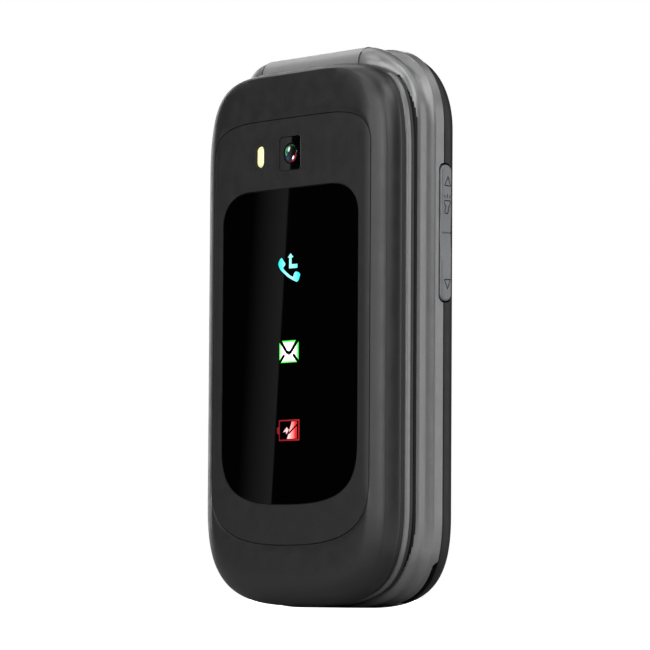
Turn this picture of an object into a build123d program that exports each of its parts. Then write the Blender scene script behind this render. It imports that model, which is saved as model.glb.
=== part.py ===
from build123d import *

# Clamshell mobile phone, closed and standing on its lower end.
#
# +X is the side with the volume rocker, -Y is the face of the lid, +Z runs up to the hinge.
# The origin is under the middle of the closed phone, on the surface that it stands on.
# All lengths are in millimetres, all angles in degrees.

import os
from dataclasses import dataclass, replace
from math import cos, radians, sin

# --- the closed phone ---------------------------------------------------------------------
body_width = 54.5
body_length = 105.0
lid_thickness = 7.5
parting_gap = 0.55
base_thickness = 10.95

lid_face = -(lid_thickness + parting_gap + base_thickness) / 2
lid_inner = lid_face + lid_thickness
base_face = lid_inner + parting_gap
base_rear = base_face + base_thickness
half_width = body_width / 2

# --- fits ---------------------------------------------------------------------------------
pane_fit = 0.08          # a pane or an inlay in its recess
key_fit = 0.15           # a key in its opening
shell_fit = 0.10         # one shell or board inside another
screw_fit = 0.05         # radial, on screws, caps and bumpers
pivot_fit = 0.05         # radial, on pins and trunnions
seam = 0.20              # between the barrel and the shoulders
swing_fit = 0.35         # between faces that swing past each other
boss_root = 0.2          # how far a boss runs into the wall that it stands on
overrun = 1.0            # how far a cut runs out past an outer face

# --- lid outline --------------------------------------------------------------------------
lid_rise = 0.3           # the lid's low end above the base's
lid_drop = 3.2           # the lid's high end below the base's
lid_low_land = 3.4
lid_low_rise = 19.0
lid_low_full = 0.756
lid_high_land = 8.4
lid_high_rise = 18.3
lid_high_full = 0.80

lid_low = lid_rise
lid_high = body_length - lid_drop

# --- base outline -------------------------------------------------------------------------
base_low_land = 7.0
base_low_rise = 17.0
base_low_full = 0.74
base_high_land = 12.4
base_high_rise = 15.4
base_high_full = 0.58

# --- hinge --------------------------------------------------------------------------------
knuckle_radius = 3.1
barrel_half = 14.3
knuckle_side = 2.25      # in from the base's side
lid_open_angle = 150.0
hinge_bore = 2.30
cam_length = 13.0
cam_end_wall = 2.0
cam_head_length = 2.6
cam_head_radius = 1.90
pin_radius = 0.80
pin_end_play = 1.0
trunnion_seat = 1.6
trunnion_length = 9.0
trunnion_wall = 0.5
flex_wall = 0.3
flex_start_gap = 0.7
flex_tail_width = 1.8
flex_tail_length = 12.9

hinge_y = (lid_inner + base_face) / 2
hinge_z = body_length - knuckle_radius
knuckle_reach = half_width - knuckle_side
relief_radius = knuckle_radius + swing_fit
shoulder_start = barrel_half + seam
cam_end = cam_length - barrel_half
trunnion_radius = hinge_bore - pivot_fit
trunnion_end = shoulder_start + trunnion_seat
flex_radius = trunnion_radius - trunnion_wall - pivot_fit
flex_end = trunnion_end + flex_tail_width + shell_fit

# --- lid outer cover and its panel --------------------------------------------------------
cover_depth = 4.3
cover_round = 4.2
cover_side_wall = 1.2
cover_front_wall = 1.6
cover_inner_round = 2.0
panel_thickness = 0.9
panel_side = 4.35        # in from the lid's side
panel_rise = 11.4        # up from the lid's low end
panel_drop = 9.6         # down from the lid's high end
glass_side = 3.0         # in from the panel's side
glass_rise = 7.6
glass_drop = 13.3

cover_seam_y = lid_face + cover_depth
cover_floor_y = lid_face + cover_front_wall
panel_back_y = lid_face + panel_thickness
panel_half = half_width - panel_side
panel_low = lid_low + panel_rise
panel_high = lid_high - panel_drop
glass_half = panel_half - glass_side
glass_low = panel_low + glass_rise
glass_high = panel_high - glass_drop

# --- lid camera, flash and lit pictograms -------------------------------------------------
camera_drop = 16.3       # down from the lid's high end
camera_window_width = 6.1
camera_window_height = 6.3
camera_window_corner = 0.7
camera_barrel_radius = 2.4
camera_barrel_depth = 0.9
camera_lens_radius = 1.7
camera_lens_sink = 0.1
camera_body = 6.6
camera_body_depth = 1.85
camera_body_corner = 0.6
flash_x = -9.0
flash_width = 2.1
flash_height = 4.1
flash_depth = 1.2
icon_rises = (44.1, 28.8, 14.0)     # up from the display window's low end
icon_width = 6.4
icon_height = 5.0
icon_corner = 0.6
icon_mask_thickness = 0.15
icon_guide_depth = 0.9
icon_guide_margin = 0.4
icon_shaft = 7.6
icon_shaft_corner = 1.0

camera_z = lid_high - camera_drop
icon_zs = [glass_low + rise for rise in icon_rises]

# --- lid inner side -----------------------------------------------------------------------
rim_step_inset = 0.35
rim_bead_inset = 0.05
rim_tuck_inset = 0.45
rim_bead_start = 1.3
rim_bead_end = 2.3
housing_side_wall = 1.5
housing_plate = 1.4
lip_height = 1.0
lip_wall = 0.8
display_window_side = 4.0           # in from the lid's side
display_window_rise = 21.7          # up from the lid's low end
display_window_drop = 15.8          # down from the lid's high end
display_window_corner = 2.5
display_window_thickness = 0.75
display_window_sink = 0.15
display_ledge = 1.6
display_module_margin = 0.75        # in from the window's edge, at its sides
display_module_depth = 2.4
display_module_corner = 1.0
lid_board_side = 7.25
lid_board_rise = 27.7
lid_board_drop = 7.8
lid_board_corner = 2.0
lid_board_thickness = 0.8
lid_board_gap = 0.4
lid_chips = [(-11.0, 13.0, 7.0, 7.0), (11.0, 12.0, 6.0, 9.0),     # x, z, width and height,
             (-10.0, -21.0, 8.0, 6.0), (10.0, -21.0, 5.0, 5.0)]   # from the board's middle
chip_height = 0.5
earpiece_rise = 12.2
earpiece_slot_width = 9.0
earpiece_slot_height = 1.6
earpiece_width = 13.0
earpiece_height = 7.0
earpiece_depth = 2.6
earpiece_corner = 1.5
mesh_thickness = 0.2
mesh_sink = 0.3
mesh_margin = 0.5
magnet_radius = 2.0
magnet_depth = 1.5
magnet_x = 15.0
magnet_rise = 8.7
bumper_radius = 1.5
bumper_depth = 0.8
bumper_proud = 0.25
bumper_side = 7.25
bumper_rise = 8.5
lid_low_screw = (6.25, 18.2)        # in from the side, up from the low end
lid_high_screw = (8.75, 8.8)        # in from the side, down from the high end
screw_radius = 0.7
screw_head_radius = 1.3
screw_head_depth = 0.6
screw_length = 2.6
screw_cross = 1.3
screw_slot = 0.3
screw_boss_radius = 1.7
cap_radius = 1.7
cap_depth = 0.35

plate_front_y = lid_inner - housing_plate
display_window_width = 2 * (half_width - display_window_side)
display_window_height = lid_high - display_window_drop - lid_low - display_window_rise
display_z = lid_high - display_window_drop - display_window_height / 2
display_module_width = display_window_width - 2 * display_module_margin
display_module_height = display_window_height - 2 * display_module_margin
display_window_y = lid_inner - display_window_sink - display_window_thickness
lid_board_y = cover_floor_y + lid_board_gap
lid_board_width = 2 * (half_width - lid_board_side)
lid_board_height = lid_high - lid_board_drop - lid_low - lid_board_rise
lid_board_z = lid_high - lid_board_drop - lid_board_height / 2
earpiece_z = lid_low + earpiece_rise
earpiece_mesh_y = lid_inner - mesh_sink - mesh_thickness
magnet_z = lid_low + magnet_rise
bumper_x = half_width - bumper_side
bumper_z = lid_low + bumper_rise
bumper_y = lid_inner + bumper_proud - bumper_depth
lid_screws_at = [(side * (half_width - inset), z)
                 for inset, z in ((lid_low_screw[0], lid_low + lid_low_screw[1]),
                                  (lid_high_screw[0], lid_high - lid_high_screw[1]))
                 for side in (-1, 1)]

# --- base shells --------------------------------------------------------------------------
bead_inset = 0.7
bead_round = 1.5
flare_start = 3.15
crease_depth = 4.45
base_seam_depth = 6.55
base_side_wall = 1.1
keypad_sink = 0.5
keypad_plate = 1.2
fascia_thickness = 0.4
fascia_side = 2.6
fascia_rise = 4.2
fascia_drop = 10.0
cavity_drop = 8.5
rear_plate_start = 5.35
rear_plate = 1.1
rear_cover_round = 4.2
rear_cover_wall = 1.0
rear_cover_drop = 0.6
rear_cover_inner_round = 3.2
nail_notch_width = 0.8
nail_notch_depth = 0.9
nail_notch_x = 16.0
nail_notch_z = 8.8
base_low_screw = (8.75, 9.5)        # in from the side, up from the low end
base_high_screw = (5.25, 15.0)      # in from the side, down from the high end

flare_y = base_face + flare_start
crease_y = base_face + crease_depth
base_seam_y = base_face + base_seam_depth
keypad_plate_y = base_face + keypad_sink
keypad_back_y = keypad_plate_y + keypad_plate
fascia_y = keypad_plate_y - fascia_thickness
rear_plate_y = base_face + rear_plate_start
rear_plate_back_y = rear_plate_y + rear_plate
cavity_high = body_length - cavity_drop
base_screws_at = [(side * (half_width - inset), z)
                  for inset, z in (base_low_screw,
                                   (base_high_screw[0], body_length - base_high_screw[1]))
                  for side in (-1, 1)]

# --- keys ---------------------------------------------------------------------------------
key_proud = 0.35
key_travel = 0.4
key_flange = 0.5
key_flange_depth = 0.45
key_flange_fit = 0.05
key_edge_round = 0.3
key_corner = 1.3
digit_names = [["1", "2", "3"], ["4", "5", "6"], ["7", "8", "9"], ["star", "0", "hash"]]
digit_side = 4.85        # the outer digit keys, in from the base's side
digit_gap_x = 2.0
digit_gap_z = 2.2
digit_low_z = 16.6
digit_drop = 59.0        # the highest row, down from the base's high end, as are the next three
call_key_drop = 45.5
call_key_height = 9.0
soft_key_drop = 28.5
soft_key_height = 13.0
side_key_side = 4.15
side_key_width = 11.0
navigation_drop = 35.0
navigation_height = 24.0
navigation_gap = 1.6     # between the navigation rocker and the side keys
navigation_corner = 7.0
navigation_peg = 0.4
navigation_peg_length = 2.5
navigation_flange = 0.3
navigation_foot_side = 6.0
select_key_radius = 4.4
select_key_drop = 0.15
dome_gap = 0.03
dome_height = 0.12
dome_radius = 2.0
dome_sheet_thickness = 0.1
dome_sheet_side = 2.05
dome_sheet_margin = 5.0
board_thickness = 0.8
board_inset = 2.2
board_drop = 9.5
shield_height = 1.4
shield_side = 8.25
shield_low = 14.0
shield_drops = (64.0, 55.0, 19.0)    # the other ends of the two cans, down from the high end
microphone_x = 8.0
microphone_z = 7.5
microphone_radius = 1.6
microphone_depth = 0.9
microphone_hole = 0.5

digit_columns = len(digit_names[0])
digit_width = (2 * (half_width - digit_side) - (digit_columns - 1) * digit_gap_x) / digit_columns
digit_pitch_x = digit_width + digit_gap_x
digit_pitch_z = (body_length - digit_drop - digit_low_z) / (len(digit_names) - 1)
digit_height = digit_pitch_z - digit_gap_z
side_key_x = half_width - side_key_side - side_key_width / 2
call_key_z = body_length - call_key_drop
soft_key_z = body_length - soft_key_drop
navigation_z = body_length - navigation_drop
navigation_width = 2 * (side_key_x - side_key_width / 2 - navigation_gap)
navigation_flange_width = navigation_width - 2 * navigation_foot_side
key_top_y = fascia_y - key_proud
flange_y = keypad_back_y + key_flange_fit
flange_back_y = flange_y + key_flange_depth
navigation_pivot_y = keypad_back_y + key_flange_fit + navigation_peg
dome_top_y = flange_back_y + key_travel + dome_gap
sheet_y = dome_top_y + dome_height
board_y = sheet_y + dome_sheet_thickness
board_back_y = board_y + board_thickness
board_high = body_length - board_drop
flex_tail_y = (keypad_back_y + board_y) / 2
shield_half = half_width - shield_side
shield_stretches = [(shield_low, body_length - shield_drops[0]),
                    (body_length - shield_drops[1], body_length - shield_drops[2])]
dome_sheet_half = half_width - board_inset - dome_sheet_side
dome_sheet_low = digit_low_z - dome_sheet_margin
dome_sheet_high = navigation_z + navigation_height / 2 + dome_sheet_margin

# --- volume rocker on the right side ------------------------------------------------------
rocker_drop = 35.4       # the rocker's middle, down from the base's high end
rocker_length = 25.6
rocker_width = 2.9
rocker_start = 5.5
rocker_proud = 0.35
rocker_depth = 3.3
rocker_corner = 1.1
rocker_edge_round = 0.4
rocker_dip_radius = 20.0
rocker_dip_depth = 0.25
rocker_flange = 1.0
rocker_flange_depth = 0.6
rocker_room = 6.0
rocker_lug = 1.0
rocker_lug_wall = 0.25
rocker_pin_radius = 0.5
rocker_pin_inset = 3.2
bracket_inset = 5.25
bracket_thickness = 0.8
bracket_reach = 12.5
bracket_ear = 0.6
switch_offset = 8.0
switch_size = 3.2
switch_case_depth = 0.66
switch_button = 1.28
switch_depth = 1.1

rocker_z = body_length - rocker_drop
rocker_y = base_face + rocker_start + rocker_width / 2
rocker_inner_x = half_width - rocker_depth + rocker_proud
rocker_outer_x = half_width + rocker_proud
rocker_pin_x = half_width - rocker_pin_inset
rocker_reach = rocker_length / 2 + rocker_flange
bracket_x = half_width - bracket_inset
bracket_ear_out = rocker_width / 2 + shell_fit + bracket_ear

# --- inside the back ----------------------------------------------------------------------
battery_side = 6.75      # in from the base's side
battery_low = 14.5
battery_drop = 37.0      # down from the base's high end
battery_thickness = 3.2
battery_corner = 1.2
battery_fit = 0.3
bay_wall = 1.0
bay_corner = 1.0
contact_pitch = 3.0
contact_size = 1.6
contact_height = 2.0
sim_x = -10.5
sim_drop = 24.0          # down from the base's high end, as are the next two
sim_width = 16.0
sim_height = 13.0
sim_depth = 1.5
sim_corner = 0.6
speaker_x = 10.5
speaker_drop = 23.0
speaker_width = 15.0
speaker_height = 11.0
speaker_depth = 2.9
speaker_corner = 1.5
motor_drop = 12.5
motor_radius = 4.0
motor_depth = 2.7
antenna_low = 3.2
antenna_high = 11.0
antenna_side = 12.25
antenna_depth = 2.6
antenna_corner = 1.5
grille_slots = 5
grille_pitch = 1.8
grille_slot_width = 0.8
grille_slot_length = 7.0
socket_z = 46.0
socket_width = 7.5
socket_height = 2.4
socket_depth = 5.0
socket_wall = 0.3
socket_corner = 0.8
socket_margin = 0.2
socket_sink = 0.8
socket_tongue = 0.6
socket_tongue_width = 3.75
socket_tongue_sink = 1.0

battery_width = 2 * (half_width - battery_side)
battery_high = body_length - battery_drop
battery_y = rear_plate_back_y + shell_fit
battery_back_y = battery_y + battery_thickness
battery_z = (battery_low + battery_high) / 2
battery_length = battery_high - battery_low
antenna_width = 2 * (half_width - antenna_side)
sim_z = body_length - sim_drop
speaker_z = body_length - speaker_drop
motor_z = body_length - motor_drop
socket_x = -half_width + socket_sink
socket_y = board_back_y + socket_height / 2


@dataclass(frozen=True)
class Outline:
    """A bowed, soft-cornered outline in X and Z, symmetric about the middle plane.

    Each end has a flat land in the middle, and a curve that runs from there to the straight
    side over a rise. How full that curve is goes from 0, a straight cut, to 1, a square corner.
    """

    half: float
    low: float
    high: float
    low_land: float
    low_rise: float
    low_full: float
    high_land: float
    high_rise: float
    high_full: float

    def face(self, inset=0.0, low_inset=None):
        """The outline as a face, moved inwards by inset."""
        side = self.half - inset
        low = self.low + (inset if low_inset is None else low_inset)
        high = self.high - inset
        low_turn = self.low + self.low_rise
        high_turn = self.high - self.high_rise
        low_reach = self.low_full * (side - self.low_land)
        high_reach = self.high_full * (side - self.high_land)
        low_climb = self.low_full * (low_turn - low)
        high_climb = self.high_full * (high - high_turn)
        right = [
            Bezier((self.low_land, low), (self.low_land + low_reach, low),
                   (side, low_turn - low_climb), (side, low_turn)),
            Line((side, low_turn), (side, high_turn)),
            Bezier((side, high_turn), (side, high_turn + high_climb),
                   (self.high_land + high_reach, high), (self.high_land, high)),
        ]
        left = [mirror(edge, about=Plane.YZ) for edge in right]
        ends = [Line((-self.low_land, low), (self.low_land, low)),
                Line((-self.high_land, high), (self.high_land, high))]
        return make_face(right + left + ends)


lid_outline = Outline(
    half=half_width, low=lid_low, high=lid_high,
    low_land=lid_low_land, low_rise=lid_low_rise, low_full=lid_low_full,
    high_land=lid_high_land, high_rise=lid_high_rise, high_full=lid_high_full)
panel_outline = Outline(
    half=panel_half, low=panel_low, high=panel_high,
    low_land=1.0, low_rise=11.1, low_full=0.71, high_land=9.2, high_rise=6.7, high_full=0.74)
glass_outline = Outline(
    half=glass_half, low=glass_low, high=glass_high,
    low_land=1.0, low_rise=10.9, low_full=0.745, high_land=11.8, high_rise=6.2, high_full=0.62)
base_outline = Outline(
    half=half_width, low=0.0, high=body_length,
    low_land=base_low_land, low_rise=base_low_rise, low_full=base_low_full,
    high_land=base_high_land, high_rise=base_high_rise, high_full=base_high_full)
fascia_outline = Outline(
    half=half_width - fascia_side, low=fascia_rise, high=body_length - fascia_drop,
    low_land=5.0, low_rise=15.0, low_full=0.72, high_land=12.0, high_rise=12.0, high_full=0.60)
cover_outline = replace(base_outline, high=body_length - rear_cover_drop)


def slab(face, start, end):
    """A face in X and Z, made solid from the depth start to the depth end."""
    return extrude(Plane.XZ.offset(-end) * face, amount=end - start)


def panel(x, z, width, height, radius, start, end):
    """A flat piece with round corners."""
    return slab(Pos(x, z) * RectangleRounded(width, height, radius), start, end)


def stadium(x, z, width, height, start, end):
    """A flat piece with full round ends."""
    turn = 0 if width > height else 90
    return slab(Pos(x, z) * SlotOverall(max(width, height), min(width, height), rotation=turn),
                start, end)


def disc(x, z, radius, start, end):
    """A round piece with its axis along Y."""
    return slab(Pos(x, z) * Circle(radius), start, end)


def rod_x(y, z, radius, start, end):
    """A round piece with its axis along X."""
    return extrude(Plane.YZ.offset(start) * (Pos(y, z) * Circle(radius)), amount=end - start)


def bar_x(y, z, width, height, radius, start, end):
    """A bar along X whose section in Y and Z has round corners."""
    section = Pos(y, z) * RectangleRounded(width, height, radius)
    return extrude(Plane.YZ.offset(start) * section, amount=end - start)


def block(x_range, y_range, z_range):
    """A plain block between two corners."""
    size = [high - low for low, high in (x_range, y_range, z_range)]
    centre = [(low + high) / 2 for low, high in (x_range, y_range, z_range)]
    return Pos(*centre) * Box(*size)


def around(middle, size):
    """The two ends of a stretch of the given size about its middle."""
    return middle - size / 2, middle + size / 2


def outer_edges_at(shape, depth):
    """The edges of the outer outline of a flat face at one depth."""
    face = shape.faces().filter_by(Axis.Y).filter_by_position(Axis.Y, depth - 0.001, depth + 0.001)
    return face.sort_by(SortBy.AREA)[-1].outer_wire().edges()


def hinge_rod(radius, start, end):
    """A round piece on the hinge axis."""
    return rod_x(hinge_y, hinge_z, radius, start, end)


def screws(places, head_y):
    """Small cross-head screws that point to the front, with the tops of their heads at head_y."""
    group = []
    for x, z in places:
        screw = disc(x, z, screw_head_radius, head_y - screw_head_depth, head_y)
        screw += disc(x, z, screw_radius, head_y - screw_head_depth - screw_length,
                      head_y - screw_head_depth)
        for width, height in ((screw_cross, screw_slot), (screw_slot, screw_cross)):
            screw -= block(around(x, width), (head_y - screw_slot, head_y), around(z, height))
        group.append(screw)
    return Compound(group)


# === lid ==================================================================================
def lid_cover():
    """The outer shell of the lid, with the recess for its panel and its windows."""
    shell = slab(lid_outline.face(), lid_face, cover_seam_y)
    shell = fillet(outer_edges_at(shell, lid_face), cover_round)
    room = slab(lid_outline.face(cover_side_wall), cover_floor_y, cover_seam_y)
    room = fillet(outer_edges_at(room, cover_floor_y), cover_inner_round)
    shell -= room - hinge_rod(relief_radius + cover_side_wall, -half_width, half_width)
    shell -= slab(panel_outline.face(-pane_fit), lid_face, panel_back_y)
    shell -= panel(0, camera_z, camera_body + 2 * pane_fit, camera_body + 2 * pane_fit,
                   camera_body_corner + pane_fit, panel_back_y, cover_floor_y)
    shell -= stadium(flash_x, camera_z, flash_width + 2 * pane_fit, flash_height + 2 * pane_fit,
                     panel_back_y, cover_floor_y)
    for z in icon_zs:
        shell -= panel(0, z, icon_shaft, icon_shaft, icon_shaft_corner, panel_back_y,
                       cover_floor_y)
    for x, z in lid_screws_at:
        shell += disc(x, z, screw_boss_radius, cover_floor_y - boss_root, plate_front_y)
        shell -= disc(x, z, screw_radius + screw_fit, cover_floor_y, plate_front_y)
    return shell


def lid_panel():
    """The inlaid front panel, with openings for the display window, camera and flash."""
    sheet = slab(panel_outline.face(), lid_face, panel_back_y)
    sheet -= slab(glass_outline.face(-pane_fit), lid_face, panel_back_y)
    sheet -= panel(0, camera_z, camera_window_width + 2 * pane_fit,
                   camera_window_height + 2 * pane_fit, camera_window_corner + pane_fit,
                   lid_face, panel_back_y)
    return sheet - stadium(flash_x, camera_z, flash_width + 2 * pane_fit,
                           flash_height + 2 * pane_fit, lid_face, panel_back_y)


def icon_mask():
    """The black film behind the display window, open where the pictograms glow."""
    film = slab(glass_outline.face(), panel_back_y - icon_mask_thickness, panel_back_y)
    for z in icon_zs:
        film -= panel(0, z, icon_width, icon_height, icon_corner,
                      panel_back_y - icon_mask_thickness, panel_back_y)
    return film


def icon_guides():
    """Three blocks of light guide that lead the light to the pictograms."""
    return Compound([panel(0, z, icon_width + 2 * icon_guide_margin,
                           icon_height + 2 * icon_guide_margin, icon_corner, panel_back_y,
                           panel_back_y + icon_guide_depth) for z in icon_zs])


def lid_board():
    """The lid's circuit board, cut out round the camera, with a few chips."""
    back = lid_board_y + lid_board_thickness
    board = panel(0, lid_board_z, lid_board_width, lid_board_height, lid_board_corner,
                  lid_board_y, back)
    board -= panel(0, camera_z, camera_body + 2 * shell_fit, camera_body + 2 * shell_fit,
                   camera_body_corner + shell_fit, lid_board_y, back)
    for x, z in lid_screws_at:
        board -= disc(x, z, screw_boss_radius + shell_fit, lid_board_y, back)
    for x, z, width, height in lid_chips:
        board += block(around(x, width), (back, back + chip_height),
                       around(lid_board_z + z, height))
    return board


def camera():
    """The camera: a square body with a round barrel behind the camera window."""
    body_y = panel_back_y + camera_barrel_depth
    barrel_y = panel_back_y + shell_fit
    body = panel(0, camera_z, camera_body, camera_body, camera_body_corner, body_y,
                 body_y + camera_body_depth)
    body += disc(0, camera_z, camera_barrel_radius, barrel_y, body_y)
    return body - disc(0, camera_z, camera_lens_radius, barrel_y, barrel_y + camera_lens_sink)


def rim_stack():
    """The outside of the lid's inner housing: a step, a bead and a tucked-in edge."""
    bead_start = cover_seam_y + rim_bead_start
    bead_end = cover_seam_y + rim_bead_end
    step = slab(lid_outline.face(rim_step_inset), cover_seam_y, bead_start)
    bead = slab(lid_outline.face(rim_bead_inset), bead_start, bead_end)
    tuck = slab(lid_outline.face(rim_tuck_inset), bead_end, lid_inner)
    return step + bead + tuck


def cover_lip():
    """The lip that locates the lid's inner housing in its outer cover."""
    inset = cover_side_wall + shell_fit
    lip = slab(lid_outline.face(inset), cover_seam_y - lip_height, cover_seam_y)
    lip -= slab(lid_outline.face(inset + lip_wall), cover_seam_y - lip_height, cover_seam_y)
    return lip - hinge_rod(relief_radius + cover_side_wall + swing_fit, -half_width, half_width)


def lid_housing():
    """The inner half of the lid, with the hinge barrel."""
    body = rim_stack()
    room = slab(lid_outline.face(housing_side_wall), cover_seam_y, plate_front_y)
    body -= room - hinge_rod(relief_radius + cover_side_wall, -half_width, half_width)
    body += cover_lip()
    body -= hinge_rod(relief_radius, -half_width, -barrel_half)
    body -= hinge_rod(relief_radius, barrel_half, half_width)
    body += hinge_rod(knuckle_radius, -barrel_half, barrel_half)
    body -= hinge_rod(hinge_bore, -barrel_half, barrel_half)
    body -= panel(0, display_z, display_window_width + 2 * pane_fit,
                  display_window_height + 2 * pane_fit, display_window_corner + pane_fit,
                  display_window_y, lid_inner)
    body -= panel(0, display_z, display_window_width - 2 * display_ledge,
                  display_window_height - 2 * display_ledge, display_window_corner,
                  plate_front_y, display_window_y)
    mesh_room = 2 * (mesh_margin + shell_fit)
    body -= stadium(0, earpiece_z, earpiece_slot_width + mesh_room,
                    earpiece_slot_height + mesh_room, earpiece_mesh_y, lid_inner)
    body -= stadium(0, earpiece_z, earpiece_slot_width, earpiece_slot_height,
                    plate_front_y, lid_inner)
    for x, z in lid_screws_at:
        body -= disc(x, z, screw_radius + screw_fit, plate_front_y, lid_inner)
        body -= disc(x, z, screw_head_radius + screw_fit, lid_inner - cap_depth - screw_head_depth,
                     lid_inner)
        body -= disc(x, z, cap_radius + screw_fit, lid_inner - cap_depth, lid_inner)
    for x in (-bumper_x, bumper_x):
        body -= disc(x, bumper_z, bumper_radius + screw_fit, bumper_y, lid_inner)
    return body


# === base =================================================================================
def swing_path():
    """The room that the top edge of the lid needs behind the hinge when it is fully open."""
    turn = radians(lid_open_angle)
    y = lid_face + cover_round - hinge_y
    z = lid_high - cover_round - hinge_z
    return rod_x(hinge_y + y * cos(turn) + z * sin(turn), hinge_z - y * sin(turn) + z * cos(turn),
                 cover_round + swing_fit, -half_width, half_width)


def rocker_bar(start, end, grow=0.0):
    """The volume rocker's outline, made solid between two places along X."""
    return bar_x(rocker_y, rocker_z, rocker_width + 2 * grow, rocker_length + 2 * grow,
                 rocker_corner + grow, start, end)


def key_places():
    """Name, x, z, width and height of every key that is pushed straight in."""
    places = []
    for row, names in enumerate(reversed(digit_names)):
        for column, name in enumerate(names):
            places.append((f"key_{name}", (column - 1) * digit_pitch_x,
                           digit_low_z + row * digit_pitch_z, digit_width, digit_height))
    for side, call, soft in ((-1, "key_call", "key_soft_left"), (1, "key_end", "key_soft_right")):
        places.append((call, side * side_key_x, call_key_z, side_key_width, call_key_height))
        places.append((soft, side * side_key_x, soft_key_z, side_key_width, soft_key_height))
    return places


def key_openings(start, end):
    """The openings for all the keys in one layer."""
    openings = [panel(x, z, width + 2 * key_fit, height + 2 * key_fit, key_corner + key_fit,
                      start, end) for _, x, z, width, height in key_places()]
    openings.append(panel(0, navigation_z, navigation_width + 2 * key_fit,
                          navigation_height + 2 * key_fit, navigation_corner + key_fit, start, end))
    return openings


def socket_room(start, end):
    """The opening for the charging plug, through the left side."""
    return bar_x(socket_y, socket_z, socket_height + 2 * socket_margin,
                 socket_width + 2 * socket_margin, socket_corner + socket_margin, start, end)


def nail_notch():
    """The slot along the low right edge where a nail lifts the back."""
    notch = slab(base_outline.face(-overrun) - base_outline.face(nail_notch_depth),
                 base_seam_y - nail_notch_width, base_seam_y)
    return notch & block((nail_notch_x, half_width + overrun), (base_face, base_rear),
                         (-overrun, nail_notch_z))


def base_shell():
    """The outside of the base's front half: edge bead, flared band and hinge shoulders."""
    bead = slab(base_outline.face(bead_inset, low_inset=0.0), base_face, flare_y)
    bead = fillet(outer_edges_at(bead, base_face), bead_round)
    flare = loft([Plane.XZ.offset(-flare_y) * base_outline.face(bead_inset, low_inset=0.0),
                  Plane.XZ.offset(-crease_y) * base_outline.face()], ruled=True)
    band = slab(base_outline.face(), crease_y, base_seam_y)
    knuckles = hinge_rod(knuckle_radius, -knuckle_reach, knuckle_reach)
    knuckles &= slab(base_outline.face(), lid_face, base_seam_y)
    shell = bead + flare + band - swing_path() + knuckles
    return shell - hinge_rod(relief_radius, -shoulder_start, shoulder_start)


def base_housing():
    """The front half of the base, which holds the keypad, the main board and the hinge ends."""
    body = base_shell()
    room = slab(base_outline.face(bead_inset + base_side_wall), keypad_back_y, base_seam_y)
    body -= room & block((-half_width, half_width), (base_face, base_rear), (0, cavity_high))
    body -= slab(fascia_outline.face(-pane_fit), base_face, keypad_plate_y)
    for opening in key_openings(keypad_plate_y, keypad_back_y):
        body -= opening
    body -= disc(microphone_x, microphone_z, microphone_hole, keypad_plate_y, keypad_back_y)
    for x, z in base_screws_at:
        body += disc(x, z, screw_boss_radius, keypad_back_y, rear_plate_y)
        body -= disc(x, z, screw_radius + screw_fit, keypad_back_y, rear_plate_y)
    body -= hinge_rod(cam_head_radius + screw_fit, -shoulder_start - cam_head_length,
                      -shoulder_start)
    body -= hinge_rod(trunnion_radius + screw_fit, shoulder_start, trunnion_end)
    body -= hinge_rod(flex_radius + pivot_fit, trunnion_end, flex_end)
    body -= block((trunnion_end, flex_end), (hinge_y, flex_tail_y + 2 * flex_wall),
                  (cavity_high - flex_wall, hinge_z + flex_wall))
    body -= rocker_bar(half_width - rocker_room, half_width + overrun, key_fit)
    body -= socket_room(-half_width - overrun, socket_x + socket_depth)
    return body - nail_notch()


def charging_socket():
    """A charging socket: a folded steel shell with a plastic tongue."""
    end = socket_x + socket_depth
    shell = bar_x(socket_y, socket_z, socket_height, socket_width, socket_corner, socket_x, end)
    shell -= bar_x(socket_y, socket_z, socket_height - 2 * socket_wall,
                   socket_width - 2 * socket_wall, socket_corner - socket_wall, socket_x,
                   end - socket_wall)
    return shell + block((socket_x + socket_tongue_sink, end), around(socket_y, socket_tongue),
                         around(socket_z, socket_tongue_width))


def keypad_fascia():
    """The thin sheet round the keys."""
    sheet = slab(fascia_outline.face(), fascia_y, keypad_plate_y)
    for opening in key_openings(fascia_y, keypad_plate_y):
        sheet -= opening
    return sheet - disc(microphone_x, microphone_z, microphone_hole, fascia_y, keypad_plate_y)


def push_key(x, z, width, height):
    """A key with a soft edge and a flange that keeps it in."""
    cap = panel(x, z, width, height, key_corner, key_top_y, flange_y)
    cap = fillet(outer_edges_at(cap, key_top_y), key_edge_round)
    return cap + panel(x, z, width + 2 * key_flange, height + 2 * key_flange,
                       key_corner + key_flange, flange_y, flange_back_y)


def navigation_foot():
    """The foot above the navigation rocker that keeps it behind the keypad floor."""
    inner = navigation_height / 2 - key_flange - key_fit
    outer = navigation_height / 2
    foot_y = navigation_pivot_y - navigation_flange / 2
    width = around(0, navigation_flange_width)
    leg = block(width, (keypad_back_y, foot_y), (navigation_z + inner, navigation_z + outer))
    return leg + block(width, (foot_y, foot_y + navigation_flange),
                       (navigation_z + inner, navigation_z + outer + key_flange))


def navigation_pivot():
    """The peg on the right of the navigation rocker, with the ear that carries it."""
    outer = navigation_width / 2 + key_flange + key_fit
    inner = outer - navigation_peg_length
    peg = rod_x(navigation_pivot_y, navigation_z, navigation_peg, inner, outer)
    return peg + block((inner, navigation_width / 2), (keypad_back_y, navigation_pivot_y),
                       around(navigation_z, 2 * navigation_peg))


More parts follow.
